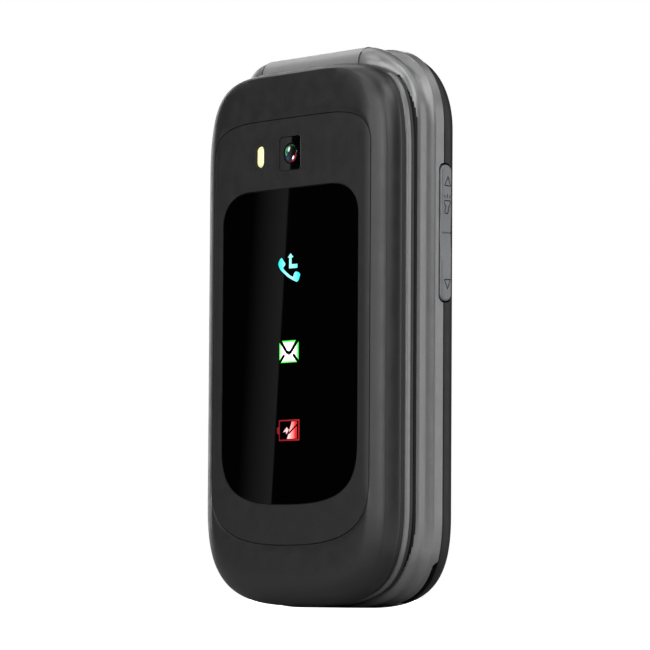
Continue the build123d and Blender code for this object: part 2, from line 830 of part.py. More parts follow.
def navigation_rocker():
    """The up and down key round the select key."""
    ring = panel(0, navigation_z, navigation_width, navigation_height, navigation_corner,
                 key_top_y, keypad_back_y)
    ring = fillet(outer_edges_at(ring, key_top_y), key_edge_round)
    foot = navigation_foot()
    ring += foot + mirror(foot, about=Plane.XY.offset(navigation_z))
    pivot = navigation_pivot()
    ring += pivot + mirror(pivot, about=Plane.YZ)
    return ring - disc(0, navigation_z, select_key_radius + key_fit, key_top_y, keypad_back_y)


def select_key():
    """The round key in the middle of the navigation rocker."""
    start = keypad_back_y + select_key_drop
    cap = disc(0, navigation_z, select_key_radius, key_top_y, start)
    cap = fillet(outer_edges_at(cap, key_top_y), key_edge_round)
    return cap + disc(0, navigation_z, select_key_radius + key_flange, start,
                      start + navigation_flange)


def dome_sheet():
    """The sheet of snap domes between the keys and the main board."""
    sheet = block((-dome_sheet_half, dome_sheet_half), (sheet_y, board_y),
                  (dome_sheet_low, dome_sheet_high))
    places = [(x, z) for _, x, z, _, _ in key_places()]
    places += [(0, navigation_z + offset * (navigation_height / 2 - dome_radius))
               for offset in (-1, 0, 1)]
    for x, z in places:
        sheet += disc(x, z, dome_radius, dome_top_y, sheet_y)
    return sheet


def main_board():
    """The main circuit board, cut out round the screw bosses."""
    board = slab(base_outline.face(board_inset), board_y, board_back_y)
    board &= block((-half_width, half_width), (base_face, base_rear), (0, board_high))
    for x, z in base_screws_at:
        board -= disc(x, z, screw_boss_radius + shell_fit, board_y, board_back_y)
    return board


def battery_bay():
    """The wall round the battery, open where the contacts reach through."""
    width = battery_width + 2 * battery_fit
    length = battery_length + 2 * battery_fit
    wall = panel(0, battery_z, width + 2 * bay_wall, length + 2 * bay_wall,
                 bay_corner + bay_wall, rear_plate_back_y, battery_back_y)
    wall -= panel(0, battery_z, width, length, bay_corner, rear_plate_back_y, battery_back_y)
    return wall - block(around(0, 4 * contact_pitch), (rear_plate_back_y, battery_back_y),
                        (battery_high, battery_high + battery_fit + bay_wall))


def rear_housing():
    """The frame behind the electronics, with the battery bay."""
    plate = slab(base_outline.face(bead_inset + base_side_wall + shell_fit), rear_plate_y,
                 rear_plate_back_y)
    plate &= block((-half_width, half_width), (base_face, base_rear), (0, cavity_high - shell_fit))
    body = plate + battery_bay()
    for x, z in base_screws_at:
        body -= disc(x, z, screw_radius + screw_fit, rear_plate_y, rear_plate_back_y)
        body -= disc(x, z, screw_head_radius + screw_fit, rear_plate_back_y - screw_head_depth,
                     rear_plate_back_y)
    body -= block((bracket_x - shell_fit, half_width), (rear_plate_y, rear_plate_back_y),
                  around(rocker_z, 2 * (rocker_reach + swing_fit)))
    return body - block((-half_width, socket_x + socket_depth + shell_fit),
                        (rear_plate_y, socket_y + socket_height / 2 + shell_fit),
                        around(socket_z, socket_width + 2 * shell_fit))


def rear_cover():
    """The lift-off back, notched round the rocker, with slots over the loudspeaker."""
    start = base_seam_y + shell_fit
    inner = base_rear - rear_cover_wall
    cover = slab(cover_outline.face(), start, base_rear)
    cover = fillet(outer_edges_at(cover, base_rear), rear_cover_round)
    room = slab(cover_outline.face(rear_cover_wall), start, inner)
    cover -= fillet(outer_edges_at(room, inner), rear_cover_inner_round)
    cover -= rocker_bar(half_width - rocker_room, half_width + overrun, key_fit)
    for slot in range(grille_slots):
        z = speaker_z + (slot - (grille_slots - 1) / 2) * grille_pitch
        cover -= stadium(speaker_x, z, grille_slot_length, grille_slot_width, inner, base_rear)
    return cover


def volume_rocker():
    """The one-piece volume key: it rocks on a pin behind its middle."""
    bar = rocker_bar(rocker_inner_x, rocker_outer_x)
    bar = fillet(bar.faces().sort_by(Axis.X)[-1].edges(), rocker_edge_round)
    y_range = (rocker_y - rocker_width, rocker_y + rocker_width)
    bar -= disc(rocker_outer_x + rocker_dip_radius - rocker_dip_depth, rocker_z,
                rocker_dip_radius, *y_range)
    flange_x = rocker_inner_x + rocker_flange_depth
    bar += block((rocker_inner_x, flange_x), around(rocker_y, rocker_width),
                 around(rocker_z, 2 * rocker_reach))
    bar += block((rocker_pin_x - rocker_pin_radius - rocker_lug_wall, flange_x),
                 around(rocker_y, rocker_width), around(rocker_z, 2 * rocker_lug))
    return bar - disc(rocker_pin_x, rocker_z, rocker_pin_radius + pivot_fit, *y_range)


def rocker_bracket():
    """The bracket on the main board's edge that carries the rocker's pin and switches."""
    front = bracket_x + bracket_thickness
    body = block((bracket_x, front), (board_back_y, rocker_y + bracket_ear_out),
                 around(rocker_z, 2 * bracket_reach))
    low_ear = block((front, rocker_pin_x + rocker_lug),
                    (rocker_y - bracket_ear_out, rocker_y - bracket_ear_out + bracket_ear),
                    around(rocker_z, 2 * rocker_lug))
    body += low_ear + mirror(low_ear, about=Plane.XZ.offset(-rocker_y))
    return body - disc(rocker_pin_x, rocker_z, rocker_pin_radius, rocker_y - bracket_ear_out,
                       rocker_y + bracket_ear_out)


def volume_switches():
    """Two snap switches behind the ends of the rocker."""
    start = bracket_x + bracket_thickness
    group = []
    for z in (rocker_z - switch_offset, rocker_z + switch_offset):
        case = block((start, start + switch_case_depth), around(rocker_y, switch_size),
                     around(z, switch_size))
        group.append(case + block((start, start + switch_depth), around(rocker_y, switch_button),
                                  around(z, switch_button)))
    return Compound(group)


# === hinge ================================================================================
def hinge_cam_unit():
    """The sprung cam unit in the left half of the barrel. It turns with the lid."""
    unit = hinge_rod(hinge_bore, -barrel_half, cam_end)
    return unit - hinge_rod(pin_radius + pivot_fit, -barrel_half, cam_end - cam_end_wall)


def hinge_cam_head():
    """The cam unit's fixed head, keyed into the left shoulder, with its steel pin."""
    inner = -barrel_half - pivot_fit
    head = hinge_rod(cam_head_radius, -shoulder_start - cam_head_length, inner)
    return head + hinge_rod(pin_radius, inner, cam_end - cam_end_wall - pin_end_play)


def hinge_trunnion():
    """The hollow pivot on the right, which the display's flexible circuit passes through."""
    start = trunnion_end - trunnion_length
    sleeve = hinge_rod(trunnion_radius, start, trunnion_end)
    return sleeve - hinge_rod(trunnion_radius - trunnion_wall, start, trunnion_end)


def display_flex():
    """The rolled flexible circuit through the hinge, with its tail down to the main board."""
    start, end = cam_end + flex_start_gap, flex_end - shell_fit
    roll = hinge_rod(flex_radius, start, end) - hinge_rod(flex_radius - flex_wall, start, end)
    tail_x = (end - flex_tail_width, end)
    bridge = block(tail_x, (hinge_y + flex_radius - flex_wall, flex_tail_y + flex_wall),
                   (hinge_z - flex_wall, hinge_z))
    tail = block(tail_x, (flex_tail_y, flex_tail_y + flex_wall),
                 (hinge_z - flex_tail_length, hinge_z))
    return roll + bridge + tail


# === all the pieces =======================================================================
parts = {
    "lid_outer_cover": lid_cover(),
    "lid_front_panel": lid_panel(),
    "outer_display_window": slab(glass_outline.face(), lid_face,
                                 panel_back_y - icon_mask_thickness),
    "icon_mask_film": icon_mask(),
    "icon_light_guides": icon_guides(),
    "camera_window": panel(0, camera_z, camera_window_width, camera_window_height,
                           camera_window_corner, lid_face, panel_back_y),
    "camera_module": camera(),
    "flash_lens": stadium(flash_x, camera_z, flash_width, flash_height, lid_face,
                          lid_face + flash_depth),
    "lid_circuit_board": lid_board(),
    "lid_inner_housing": lid_housing(),
    "main_display_window": panel(0, display_z, display_window_width, display_window_height,
                                 display_window_corner, display_window_y,
                                 display_window_y + display_window_thickness),
    "main_display_module": panel(0, display_z, display_module_width, display_module_height,
                                 display_module_corner, plate_front_y - display_module_depth,
                                 plate_front_y),
    "earpiece_receiver": panel(0, earpiece_z, earpiece_width, earpiece_height, earpiece_corner,
                               plate_front_y - earpiece_depth, plate_front_y),
    "earpiece_mesh": stadium(0, earpiece_z, earpiece_slot_width + 2 * mesh_margin,
                             earpiece_slot_height + 2 * mesh_margin, earpiece_mesh_y,
                             earpiece_mesh_y + mesh_thickness),
    "lid_magnet": disc(magnet_x, magnet_z, magnet_radius, plate_front_y - magnet_depth,
                       plate_front_y),
    "lid_bumpers": Compound([disc(x, bumper_z, bumper_radius, bumper_y, bumper_y + bumper_depth)
                             for x in (-bumper_x, bumper_x)]),
    "lid_screws": screws(lid_screws_at, lid_inner - cap_depth),
    "lid_screw_caps": Compound([disc(x, z, cap_radius, lid_inner - cap_depth, lid_inner)
                                for x, z in lid_screws_at]),
    "base_front_housing": base_housing(),
    "keypad_fascia": keypad_fascia(),
    "navigation_rocker": navigation_rocker(),
    "select_key": select_key(),
    "key_dome_sheet": dome_sheet(),
    "main_circuit_board": main_board(),
    "shield_cans": Compound([block((-shield_half, shield_half),
                                   (board_back_y, board_back_y + shield_height), stretch)
                             for stretch in shield_stretches]),
    "microphone": disc(microphone_x, microphone_z, microphone_radius, board_y - microphone_depth,
                       board_y),
    "charging_socket": charging_socket(),
    "base_rear_housing": rear_housing(),
    "battery": panel(0, battery_z, battery_width, battery_length, battery_corner, battery_y,
                     battery_back_y),
    "battery_contacts": Compound([
        block(around(x, contact_size), (rear_plate_back_y, rear_plate_back_y + contact_height),
              (battery_high + shell_fit, battery_high + battery_fit + bay_wall))
        for x in (-contact_pitch, 0, contact_pitch)]),
    "sim_card_holder": panel(sim_x, sim_z, sim_width, sim_height, sim_corner, rear_plate_back_y,
                             rear_plate_back_y + sim_depth),
    "loudspeaker": panel(speaker_x, speaker_z, speaker_width, speaker_height, speaker_corner,
                         rear_plate_back_y, rear_plate_back_y + speaker_depth),
    "vibration_motor": disc(0, motor_z, motor_radius, rear_plate_back_y,
                            rear_plate_back_y + motor_depth),
    "antenna_carrier": panel(0, (antenna_low + antenna_high) / 2, antenna_width,
                             antenna_high - antenna_low, antenna_corner, rear_plate_back_y,
                             rear_plate_back_y + antenna_depth),
    "base_screws": screws(base_screws_at, rear_plate_back_y),
    "rocker_bracket": rocker_bracket(),
    "volume_switches": volume_switches(),
    "rocker_pin": disc(rocker_pin_x, rocker_z, rocker_pin_radius, rocker_y - bracket_ear_out,
                       rocker_y + bracket_ear_out),
    "volume_rocker": volume_rocker(),
    "rear_cover": rear_cover(),
    "hinge_cam_unit": hinge_cam_unit(),
    "hinge_cam_head": hinge_cam_head(),
    "hinge_trunnion": hinge_trunnion(),
    "display_flex": display_flex(),
}
for name, x, z, width, height in key_places():
    parts[name] = push_key(x, z, width, height)

os.makedirs("parts", exist_ok=True)
for name, shape in parts.items():
    export_step(shape, f"parts/{name}.step")
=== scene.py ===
import logging
import math
from dataclasses import dataclass, replace
from enum import Enum
from typing import Callable, Iterable, Sequence

import bmesh
import bpy
from mathutils import Matrix, Vector


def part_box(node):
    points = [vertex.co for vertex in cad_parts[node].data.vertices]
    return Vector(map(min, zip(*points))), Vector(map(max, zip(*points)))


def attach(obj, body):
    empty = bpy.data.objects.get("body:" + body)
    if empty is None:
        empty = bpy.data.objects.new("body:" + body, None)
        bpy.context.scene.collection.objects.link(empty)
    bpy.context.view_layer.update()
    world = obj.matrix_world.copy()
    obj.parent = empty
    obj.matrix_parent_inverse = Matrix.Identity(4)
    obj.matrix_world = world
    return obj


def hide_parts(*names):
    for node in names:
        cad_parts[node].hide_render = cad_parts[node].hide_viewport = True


# Looks of a closed clamshell mobile phone that stands on its lower end. +X is the side with the
# volume rocker, -Y is the face of the lid, +Z runs up to the hinge. Sizes are in millimetres and
# become metres where a mesh is made.

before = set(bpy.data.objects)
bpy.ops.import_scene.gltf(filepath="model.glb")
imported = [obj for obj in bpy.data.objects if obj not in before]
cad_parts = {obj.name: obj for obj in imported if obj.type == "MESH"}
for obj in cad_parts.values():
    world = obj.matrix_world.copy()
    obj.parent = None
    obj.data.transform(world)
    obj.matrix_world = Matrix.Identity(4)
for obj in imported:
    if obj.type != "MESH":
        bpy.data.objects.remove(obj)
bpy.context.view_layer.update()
log = logging.getLogger("phone")

MM = 0.001
# How much less than half its width a stadium's radius is, so that no two points fall together.
STADIUM_SLACK = 1e-4
Point2 = tuple[float, float]
Point3 = tuple[float, float, float]


# === sizes read from the frame ============================================================
class Along(Enum):
    """An axis of the frame."""

    X = 0
    Y = 1
    Z = 2


def span(node: str, axis: Along) -> tuple[float, float]:
    """The two ends of a CAD node along one axis, in millimetres."""
    low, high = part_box(node)
    return low[axis.value] / MM, high[axis.value] / MM


def middle(node: str, axis: Along) -> float:
    """The middle of a CAD node along one axis, in millimetres."""
    return sum(span(node, axis)) / 2


# === curves and outlines ==================================================================
def blend(start: float, end: float, share: float) -> float:
    """A value between start and end."""
    return start + (end - start) * share


def smoothstep(value: float) -> float:
    """A soft step from 0 to 1."""
    share = min(max(value, 0.0), 1.0)
    return share * share * (3 - 2 * share)


def bezier(points: Sequence[Point2], steps: int) -> list[Point2]:
    """Points along a cubic Bezier curve, without the last one.

    Args:
        points: The four control points.
        steps: How many points to make.

    Returns:
        The points, from the first control point on.
    """
    found = []
    for step in range(steps):
        u = step / steps
        weights = ((1 - u) ** 3, 3 * u * (1 - u) ** 2, 3 * u * u * (1 - u), u ** 3)
        found.append((sum(w * p[0] for w, p in zip(weights, points)),
                      sum(w * p[1] for w, p in zip(weights, points))))
    return found


def arc(centre: Point2, radius: float, start: float, end: float, steps: int) -> list[Point2]:
    """Points along a circle's arc, both ends included.

    Args:
        centre: The middle of the circle.
        radius: Its radius.
        start: The first angle, in degrees.
        end: The last angle, in degrees.
        steps: How many stretches to divide the arc into.

    Returns:
        The points, steps + 1 of them.
    """
    turns = [math.radians(blend(start, end, step / steps)) for step in range(steps + 1)]
    return [(centre[0] + radius * math.cos(t), centre[1] + radius * math.sin(t)) for t in turns]


def circle(centre: Point2, radius: float, steps: int = 96) -> list[Point2]:
    """A full circle, as a closed loop."""
    return arc(centre, radius, 0, 360 * (1 - 1 / steps), steps - 1)


def quarter(radius: float, steps: int) -> list[Point2]:
    """Inset and drop of a quarter round, from its side to its face."""
    turns = [math.radians(90 * step / steps) for step in range(steps + 1)]
    return [(radius * (1 - math.cos(turn)), radius * (1 - math.sin(turn))) for turn in turns]


def broken(edge: float, share: float = 0.3) -> list[Point2]:
    """Inset and drop of a finely broken edge, from its side to its face."""
    return [(0.0, edge), (share * edge, share * edge), (edge, 0.0)]


@dataclass(frozen=True)
class Outline:
    """A bowed, soft-cornered outline in X and Z, symmetric about the middle plane.

    Each end has a flat land in the middle, and a curve that runs from there to the straight
    side over a rise. How full that curve is goes from 0, a straight cut, to 1, a square corner.
    """

    half: float
    low: float
    high: float
    low_land: float
    low_rise: float
    low_full: float
    high_land: float
    high_rise: float
    high_full: float
    land_steps: int = 5
    turn_steps: int = 26
    side_steps: int = 18

    def loop(self, inset: float = 0.0, low_inset: float | None = None,
             high_inset: float | None = None) -> list[Point2]:
        """The outline moved inwards, as a closed loop that starts at the low end's middle.

        Args:
            inset: How far it is moved inwards.
            low_inset: How far the low end is moved, where that differs.
            high_inset: How far the high end is moved, where that differs.

        Returns:
            The points, up the right side and down the left one.
        """
        side = self.half - inset
        low = self.low + (inset if low_inset is None else low_inset)
        high = self.high - (inset if high_inset is None else high_inset)
        low_turn, high_turn = self.low + self.low_rise, self.high - self.high_rise
        low_reach = self.low_full * (side - self.low_land)
        high_reach = self.high_full * (side - self.high_land)
        right = [(self.low_land * i / self.land_steps, low) for i in range(self.land_steps)]
        right += bezier([(self.low_land, low), (self.low_land + low_reach, low),
                         (side, low_turn - self.low_full * (low_turn - low)), (side, low_turn)],
                        self.turn_steps)
        right += [(side, blend(low_turn, high_turn, i / self.side_steps))
                  for i in range(self.side_steps)]
        right += bezier([(side, high_turn), (side, high_turn + self.high_full * (high - high_turn)),
                         (self.high_land + high_reach, high), (self.high_land, high)],
                        self.turn_steps)
        right += [(self.high_land * (1 - i / self.land_steps), high)
                  for i in range(self.land_steps + 1)]
        return right + [(-x, z) for x, z in right[-2:0:-1]]


def node_outline(node: str, **shape: float) -> Outline:
    """An outline as large as a CAD node, with the given lands, rises and fullness."""
    low, high = span(node, Along.Z)
    return Outline(span(node, Along.X)[1], low, high, **shape)


def round_box(x: float, z: float, width: float, height: float, corner: float | None = None,
              steps: int = 8) -> list[Point2]:
    """A rectangle with round corners, or a stadium, as a closed loop.

    Args:
        x: Its middle along X.
        z: Its middle along Z.
        width: Its size along X.
        height: Its size along Z.
        corner: The radius of its corners. Without one it is a stadium.
        steps: How many stretches each corner has.

    Returns:
        The points, seen from the front against the clock.
    """
    radius = min(width, height) / 2 - STADIUM_SLACK if corner is None else corner
    found = []
    for turn, (side, end) in enumerate(((1, -1), (1, 1), (-1, 1), (-1, -1))):
        centre = (x + side * (width / 2 - radius), z + end * (height / 2 - radius))
        found += arc(centre, radius, 90 * (turn - 1), 90 * turn, steps)
    return found


def node_loop(node: str, grow: float = 0.0, corner: float | None = None,
              grow_z: float | None = None) -> list[Point2]:
    """A round-cornered loop as large as a CAD node in X and Z, and grown.

    Args:
        node: The CAD node.
        grow: How much larger it is on each side.
        corner: The radius of its corners, as for round_box.
        grow_z: The same as grow for its ends, where that differs.

    Returns:
        The points, seen from the front against the clock.
    """
    (left, right), (low, high) = span(node, Along.X), span(node, Along.Z)
    width = right - left + 2 * grow
    height = high - low + 2 * (grow if grow_z is None else grow_z)
    return round_box((left + right) / 2, (low + high) / 2, width, height, corner)


def smooth_loop(points: Sequence[Point2], steps: int = 4) -> list[Point2]:
    """A closed loop that runs smoothly through its points, by Catmull and Rom's rule.

    Args:
        points: The points to run through.
        steps: How many stretches there are from one point to the next.

    Returns:
        The loop.
    """
    found = []
    count = len(points)
    for i in range(count):
        a, b, c, d = (points[(i + shift) % count] for shift in (-1, 0, 1, 2))
        found += bezier([b, (b[0] + (c[0] - a[0]) / 6, b[1] + (c[1] - a[1]) / 6),
                         (c[0] - (d[0] - b[0]) / 6, c[1] - (d[1] - b[1]) / 6), c], steps)
    return found


def stroke(start: Point2, end: Point2, width: float) -> list[Point2]:
    """A straight stroke with round ends, as a closed loop.

    Args:
        start: The middle of its first end.
        end: The middle of its last end.
        width: How wide it is.

    Returns:
        The points.
    """
    turn, steps = math.degrees(math.atan2(end[1] - start[1], end[0] - start[0])), 6
    return [point for centre, first in ((end, turn - 90), (start, turn + 90))
            for point in arc(centre, width / 2, first, first + 180, steps)]


def at_depth(loop: Iterable[Point2], y: float) -> list[Point3]:
    """A loop in X and Z, placed at a depth."""
    return [(x, y, z) for x, z in loop]


def stack(loop_at: Callable[[float], list[Point2]],
          profile: Iterable[Point2]) -> list[list[Point3]]:
    """Rings of an outline, from the inset and the depth of each."""
    return [at_depth(loop_at(inset), depth) for inset, depth in profile]


# === meshes ===============================================================================
class Cut(Enum):
    """What a second solid does to the first."""

    REMOVE = "DIFFERENCE"
    ADD = "UNION"
    KEEP = "INTERSECT"


SHARP_ANGLE = math.radians(32)
FACET_ANGLE = math.radians(18)
WELD_METRES = 1e-7


def shade(mesh: bpy.types.Mesh, angle: float = SHARP_ANGLE) -> None:
    """Shades a mesh smooth, with hard edges where it turns by more than an angle."""
    mesh.polygons.foreach_set("use_smooth", [True] * len(mesh.polygons))
    mesh.set_sharp_from_angle(angle=angle)


def place(name: str, data: bpy.types.ID) -> bpy.types.Object:
    """A new object at the origin.

    Args:
        name: The object's name.
        data: The mesh, curve, light or camera that it holds.

    Returns:
        The object.
    """
    made = bpy.data.objects.new(name, data)
    bpy.context.scene.collection.objects.link(made)
    return made


def solid(points: Iterable[Point3], faces: Iterable[Sequence[int]]) -> bpy.types.Object:
    """A closed mesh with its faces outwards.

    Args:
        points: The corners, in millimetres.
        faces: The corners of each face, by number.

    Returns:
        The object.
    """
    mesh = bpy.data.meshes.new("solid")
    mesh.from_pydata([Vector(point) * MM for point in points], [], list(faces))
    tidy = bmesh.new()
    tidy.from_mesh(mesh)
    bmesh.ops.remove_doubles(tidy, verts=tidy.verts, dist=WELD_METRES)
    bmesh.ops.recalc_face_normals(tidy, faces=tidy.faces)
    tidy.to_mesh(mesh)
    tidy.free()
    shade(mesh)
    return place("solid", mesh)


def loft(rings: Sequence[Sequence[Point3]]) -> bpy.types.Object:
    """A closed solid through rings, capped at both ends.

    Args:
        rings: Its rings, of equally many points each.

    Returns:
        The object.
    """
    count = len(rings[0])
    points = [point for ring in rings for point in ring]
    faces: list[Sequence[int]] = [range(count), range(len(points) - count, len(points))]
    for row in range(len(rings) - 1):
        for i in range(count):
            j = (i + 1) % count
            faces.append((row * count + i, row * count + count + i,
                          row * count + count + j, row * count + j))
    return solid(points, faces)


def bake(piece: bpy.types.Object) -> bpy.types.Object:
    """Applies a piece's modifiers to its mesh and shades it again.

    Args:
        piece: The piece.

    Returns:
        The same piece.
    """
    evaluated = piece.evaluated_get(bpy.context.evaluated_depsgraph_get())
    mesh = bpy.data.meshes.new_from_object(evaluated)
    piece.modifiers.clear()
    piece.data = mesh
    shade(mesh)
    return piece


def combine(piece: bpy.types.Object, other: bpy.types.Object,
            how: Cut = Cut.REMOVE) -> bpy.types.Object:
    """Cuts or joins a piece with another solid, which is then deleted.

    Args:
        piece: The piece.
        other: The other solid.
        how: What that does to the piece.

    Returns:
        The same piece.
    """
    modifier = piece.modifiers.new("combine", "BOOLEAN")
    modifier.operation = how.value
    modifier.object = other
    modifier.solver = "EXACT"
    bake(piece)
    bpy.data.objects.remove(other)
    return piece


def slab(loop: Sequence[Point2], start: float, end: float) -> bpy.types.Object:
    """A loop in X and Z made solid between two depths."""
    return loft([at_depth(loop, start), at_depth(loop, end)])


def along_x(loop: Iterable[Point2], start: float, end: float) -> bpy.types.Object:
    """A loop in Y and Z made solid between two places along X."""
    return loft([[(x, y, z) for y, z in loop] for x in (start, end)])


def joined(pieces: Sequence[bpy.types.Object]) -> bpy.types.Object:
    """Several separate solids put in one object.

    Args:
        pieces: The solids, which are used up.

    Returns:
        The object.
    """
    whole = bmesh.new()
    for piece in pieces:
        whole.from_mesh(piece.data)
        bpy.data.objects.remove(piece)
    mesh = bpy.data.meshes.new("solid")
    whole.to_mesh(mesh)
    whole.free()
    shade(mesh)
    return place("solid", mesh)


def plates(loops: Iterable[Sequence[Point2]], at: Point2, start: float,
           end: float) -> bpy.types.Object:
    """Flat plates of one thickness in one object.

    Args:
        loops: Each plate's outline, from their common middle.
        at: That middle, in X and Z.
        start: The depth of their face.
        end: The depth of their back.

    Returns:
        The object.
    """
    return joined([slab([(at[0] + x, at[1] + z) for x, z in loop], start, end) for loop in loops])


def turned(profile: Sequence[Point2], x: float, z: float, steps: int = 64) -> bpy.types.Object:
    """A round piece about an axis along Y.

    Args:
        profile: Radius and depth of each ring, from one end to the other.
        x: Its middle along X.
        z: Its middle along Z.
        steps: How many sides it has.

    Returns:
        The object.
    """
    return loft(stack(lambda radius: circle((x, z), radius, steps), profile))


def lettering(text: str, size: float, x: float, z: float, front: float,
              depth: float = 0.03) -> bpy.types.Object:
    """A plain printed sign that faces the front, as a mesh.

    Args:
        text: What it says.
        size: The font's size in millimetres.
        x: Its middle along X.
        z: Its middle along Z.
        front: The depth of its face.
        depth: How thick the print is.

    Returns:
        The object.
    """
    data = bpy.data.curves.new("sign", "FONT")
    data.body, data.size, data.extrude = text, size * MM, depth / 2 * MM
    data.align_x, data.align_y = "CENTER", "CENTER"
    source = place("sign", data)
    mesh = bpy.data.meshes.new_from_object(
        source.evaluated_get(bpy.context.evaluated_depsgraph_get()))
    bpy.data.objects.remove(source)
    mesh.transform(Matrix.Translation((x * MM, (front + depth / 2) * MM, z * MM))
                   @ Matrix.Rotation(math.radians(90), 4, "X"))
    shade(mesh)
    return place("solid", mesh)


def pane(loop_at: Callable[[float], list[Point2]], front: float, back: float,
         edge: float) -> bpy.types.Object:
    """A flat plate with a softly broken front edge.

    Args:
        loop_at: Gives its outline for an inset.
        front: The depth of its front.
        back: The depth of its back.
        edge: How far its front edge is broken.

    Returns:
        The object.
    """
    inwards = math.copysign(1, back - front)
    profile = [(inset, front + inwards * drop) for inset, drop in broken(edge)]
    made = loft(stack(loop_at, [(0.0, back), *profile]))
    shade(made.data, FACET_ANGLE)
    return made


# === finishes =============================================================================
def linear(colour: str) -> tuple[float, float, float, float]:
    """A six-digit sRGB hex colour as linear light, with full cover."""
    parts = [int(colour[i:i + 2], 16) / 255 for i in (0, 2, 4)]
    return (*[c / 12.92 if c <= 0.04045 else ((c + 0.055) / 1.055) ** 2.4 for c in parts], 1.0)


def add_node(tree: bpy.types.NodeTree, kind: str, inputs: dict | None = None,
             links: dict | None = None, **settings: object) -> bpy.types.Node:
    """Adds a node with its settings, values and links.

    Args:
        tree: The tree that it goes into.
        kind: The node's type.
        inputs: Values for its inputs, by name or number.
        links: Output sockets to link to its inputs, by name or number.
        settings: The node's own properties.

    Returns:
        The node.
    """
    node = tree.nodes.new(kind)
    for key, value in settings.items():
        setattr(node, key, value)
    for key, value in (inputs or {}).items():
        node.inputs[key].default_value = value
    for key, value in (links or {}).items():
        tree.links.new(value, node.inputs[key])
    return node


@dataclass(frozen=True)
class Finish:
    """A moulded, lacquered or cast surface with a fine grain and a soft mottle.

    The second colour is what flakes, pigment or traces shift the first one to, and ramp holds
    the shares at which the two are full.
    """

    name: str
    colour: str
    second_colour: str
    roughness: float
    metallic: float = 0.0
    ior: float = 1.5
    coat: float = 0.0
    coat_roughness: float = 0.08
    mottle_mm: float = 6.0
    grain_mm: float = 0.35
    grain_depth_mm: float = 0.004
    rough_spread: float = 0.05
    emission: float = 0.0
    ramp: Point2 = (0.35, 0.75)

    def material(self) -> bpy.types.Material:
        """This finish as a material, made once."""
        return bpy.data.materials.get(self.name) or self.build()

    def build(self) -> bpy.types.Material:
        """Makes the material from Object coordinates, a mottle and a grain.

        Returns:
            The material.
        """
        made = bpy.data.materials.new(self.name)
        made.use_nodes = True
        tree = made.node_tree
        tree.nodes.clear()
        where = add_node(tree, "ShaderNodeTexCoord").outputs["Object"]
        ramp = add_node(tree, "ShaderNodeValToRGB", None, {"Fac": self.share(tree, where)})
        for element, position, colour in zip(ramp.color_ramp.elements, self.ramp,
                                             (self.colour, self.second_colour)):
            element.position, element.color = position, linear(colour)
        colour = ramp.outputs["Color"]
        uneven, grain = (add_node(tree, "ShaderNodeTexNoise",
                                  {"Scale": 1 / (size * MM), "Detail": detail},
                                  {"Vector": where}).outputs["Fac"]
                         for size, detail in ((self.mottle_mm / 2, 3.0), (self.grain_mm, 2.0)))
        rough = add_node(tree, "ShaderNodeMapRange",
                         {"From Min": 0.3, "From Max": 0.7,
                          "To Min": self.roughness - self.rough_spread,
                          "To Max": self.roughness + self.rough_spread}, {"Value": uneven})
        bump = add_node(tree, "ShaderNodeBump",
                        {"Strength": 0.6, "Distance": self.grain_depth_mm * MM},
                        {"Height": grain})
        shader = add_node(tree, "ShaderNodeBsdfPrincipled", self.constants(),
                          {"Base Color": colour, "Roughness": rough.outputs["Result"],
                           "Normal": bump.outputs["Normal"]})
        if self.emission:
            shader.inputs["Emission Strength"].default_value = self.emission
            tree.links.new(colour, shader.inputs["Emission Color"])
        add_node(tree, "ShaderNodeOutputMaterial", None, {"Surface": shader.outputs["BSDF"]})
        return made

    def constants(self) -> dict[str, float]:
        """The shader's values that are the same all over.

        Returns:
            The values, by the names of the shader's inputs.
        """
        values = {"Metallic": self.metallic, "Coat Weight": self.coat,
                  "Coat Roughness": self.coat_roughness}
        return values if self.metallic == 1 else {**values, "IOR": self.ior}

    def share(self, tree: bpy.types.NodeTree,
              where: bpy.types.NodeSocket) -> bpy.types.NodeSocket:
        """How much of the second colour there is: patches of it.

        Args:
            tree: The material's tree.
            where: The socket that gives the place.

        Returns:
            The socket that gives the share of the second colour.
        """
        return add_node(tree, "ShaderNodeTexNoise",
                        {"Scale": 1 / (self.mottle_mm * MM), "Detail": 4.0},
                        {"Vector": where}).outputs["Fac"]


@dataclass(frozen=True)
class FlakePaint(Finish):
    """A sprayed lacquer with fine metal flakes, each a little lighter than the ground."""

    grain_mm: float = 0.12
    grain_depth_mm: float = 0.002
    ramp: Point2 = (0.0, 1.0)
    flake_mm: float = 0.14
    flake_share: float = 0.25

    def share(self, tree: bpy.types.NodeTree,
              where: bpy.types.NodeSocket) -> bpy.types.NodeSocket:
        """The same, as single flakes over an even ground.

        Args:
            tree: The material's tree.
            where: The socket that gives the place.

        Returns:
            The socket that gives the share of the second colour.
        """
        cells = add_node(tree, "ShaderNodeTexVoronoi", {"Scale": 1 / (self.flake_mm * MM)},
                         {"Vector": where}).outputs["Color"]
        return add_node(tree, "ShaderNodeMapRange", {"From Min": 1 - self.flake_share},
                        {"Value": cells}).outputs["Result"]


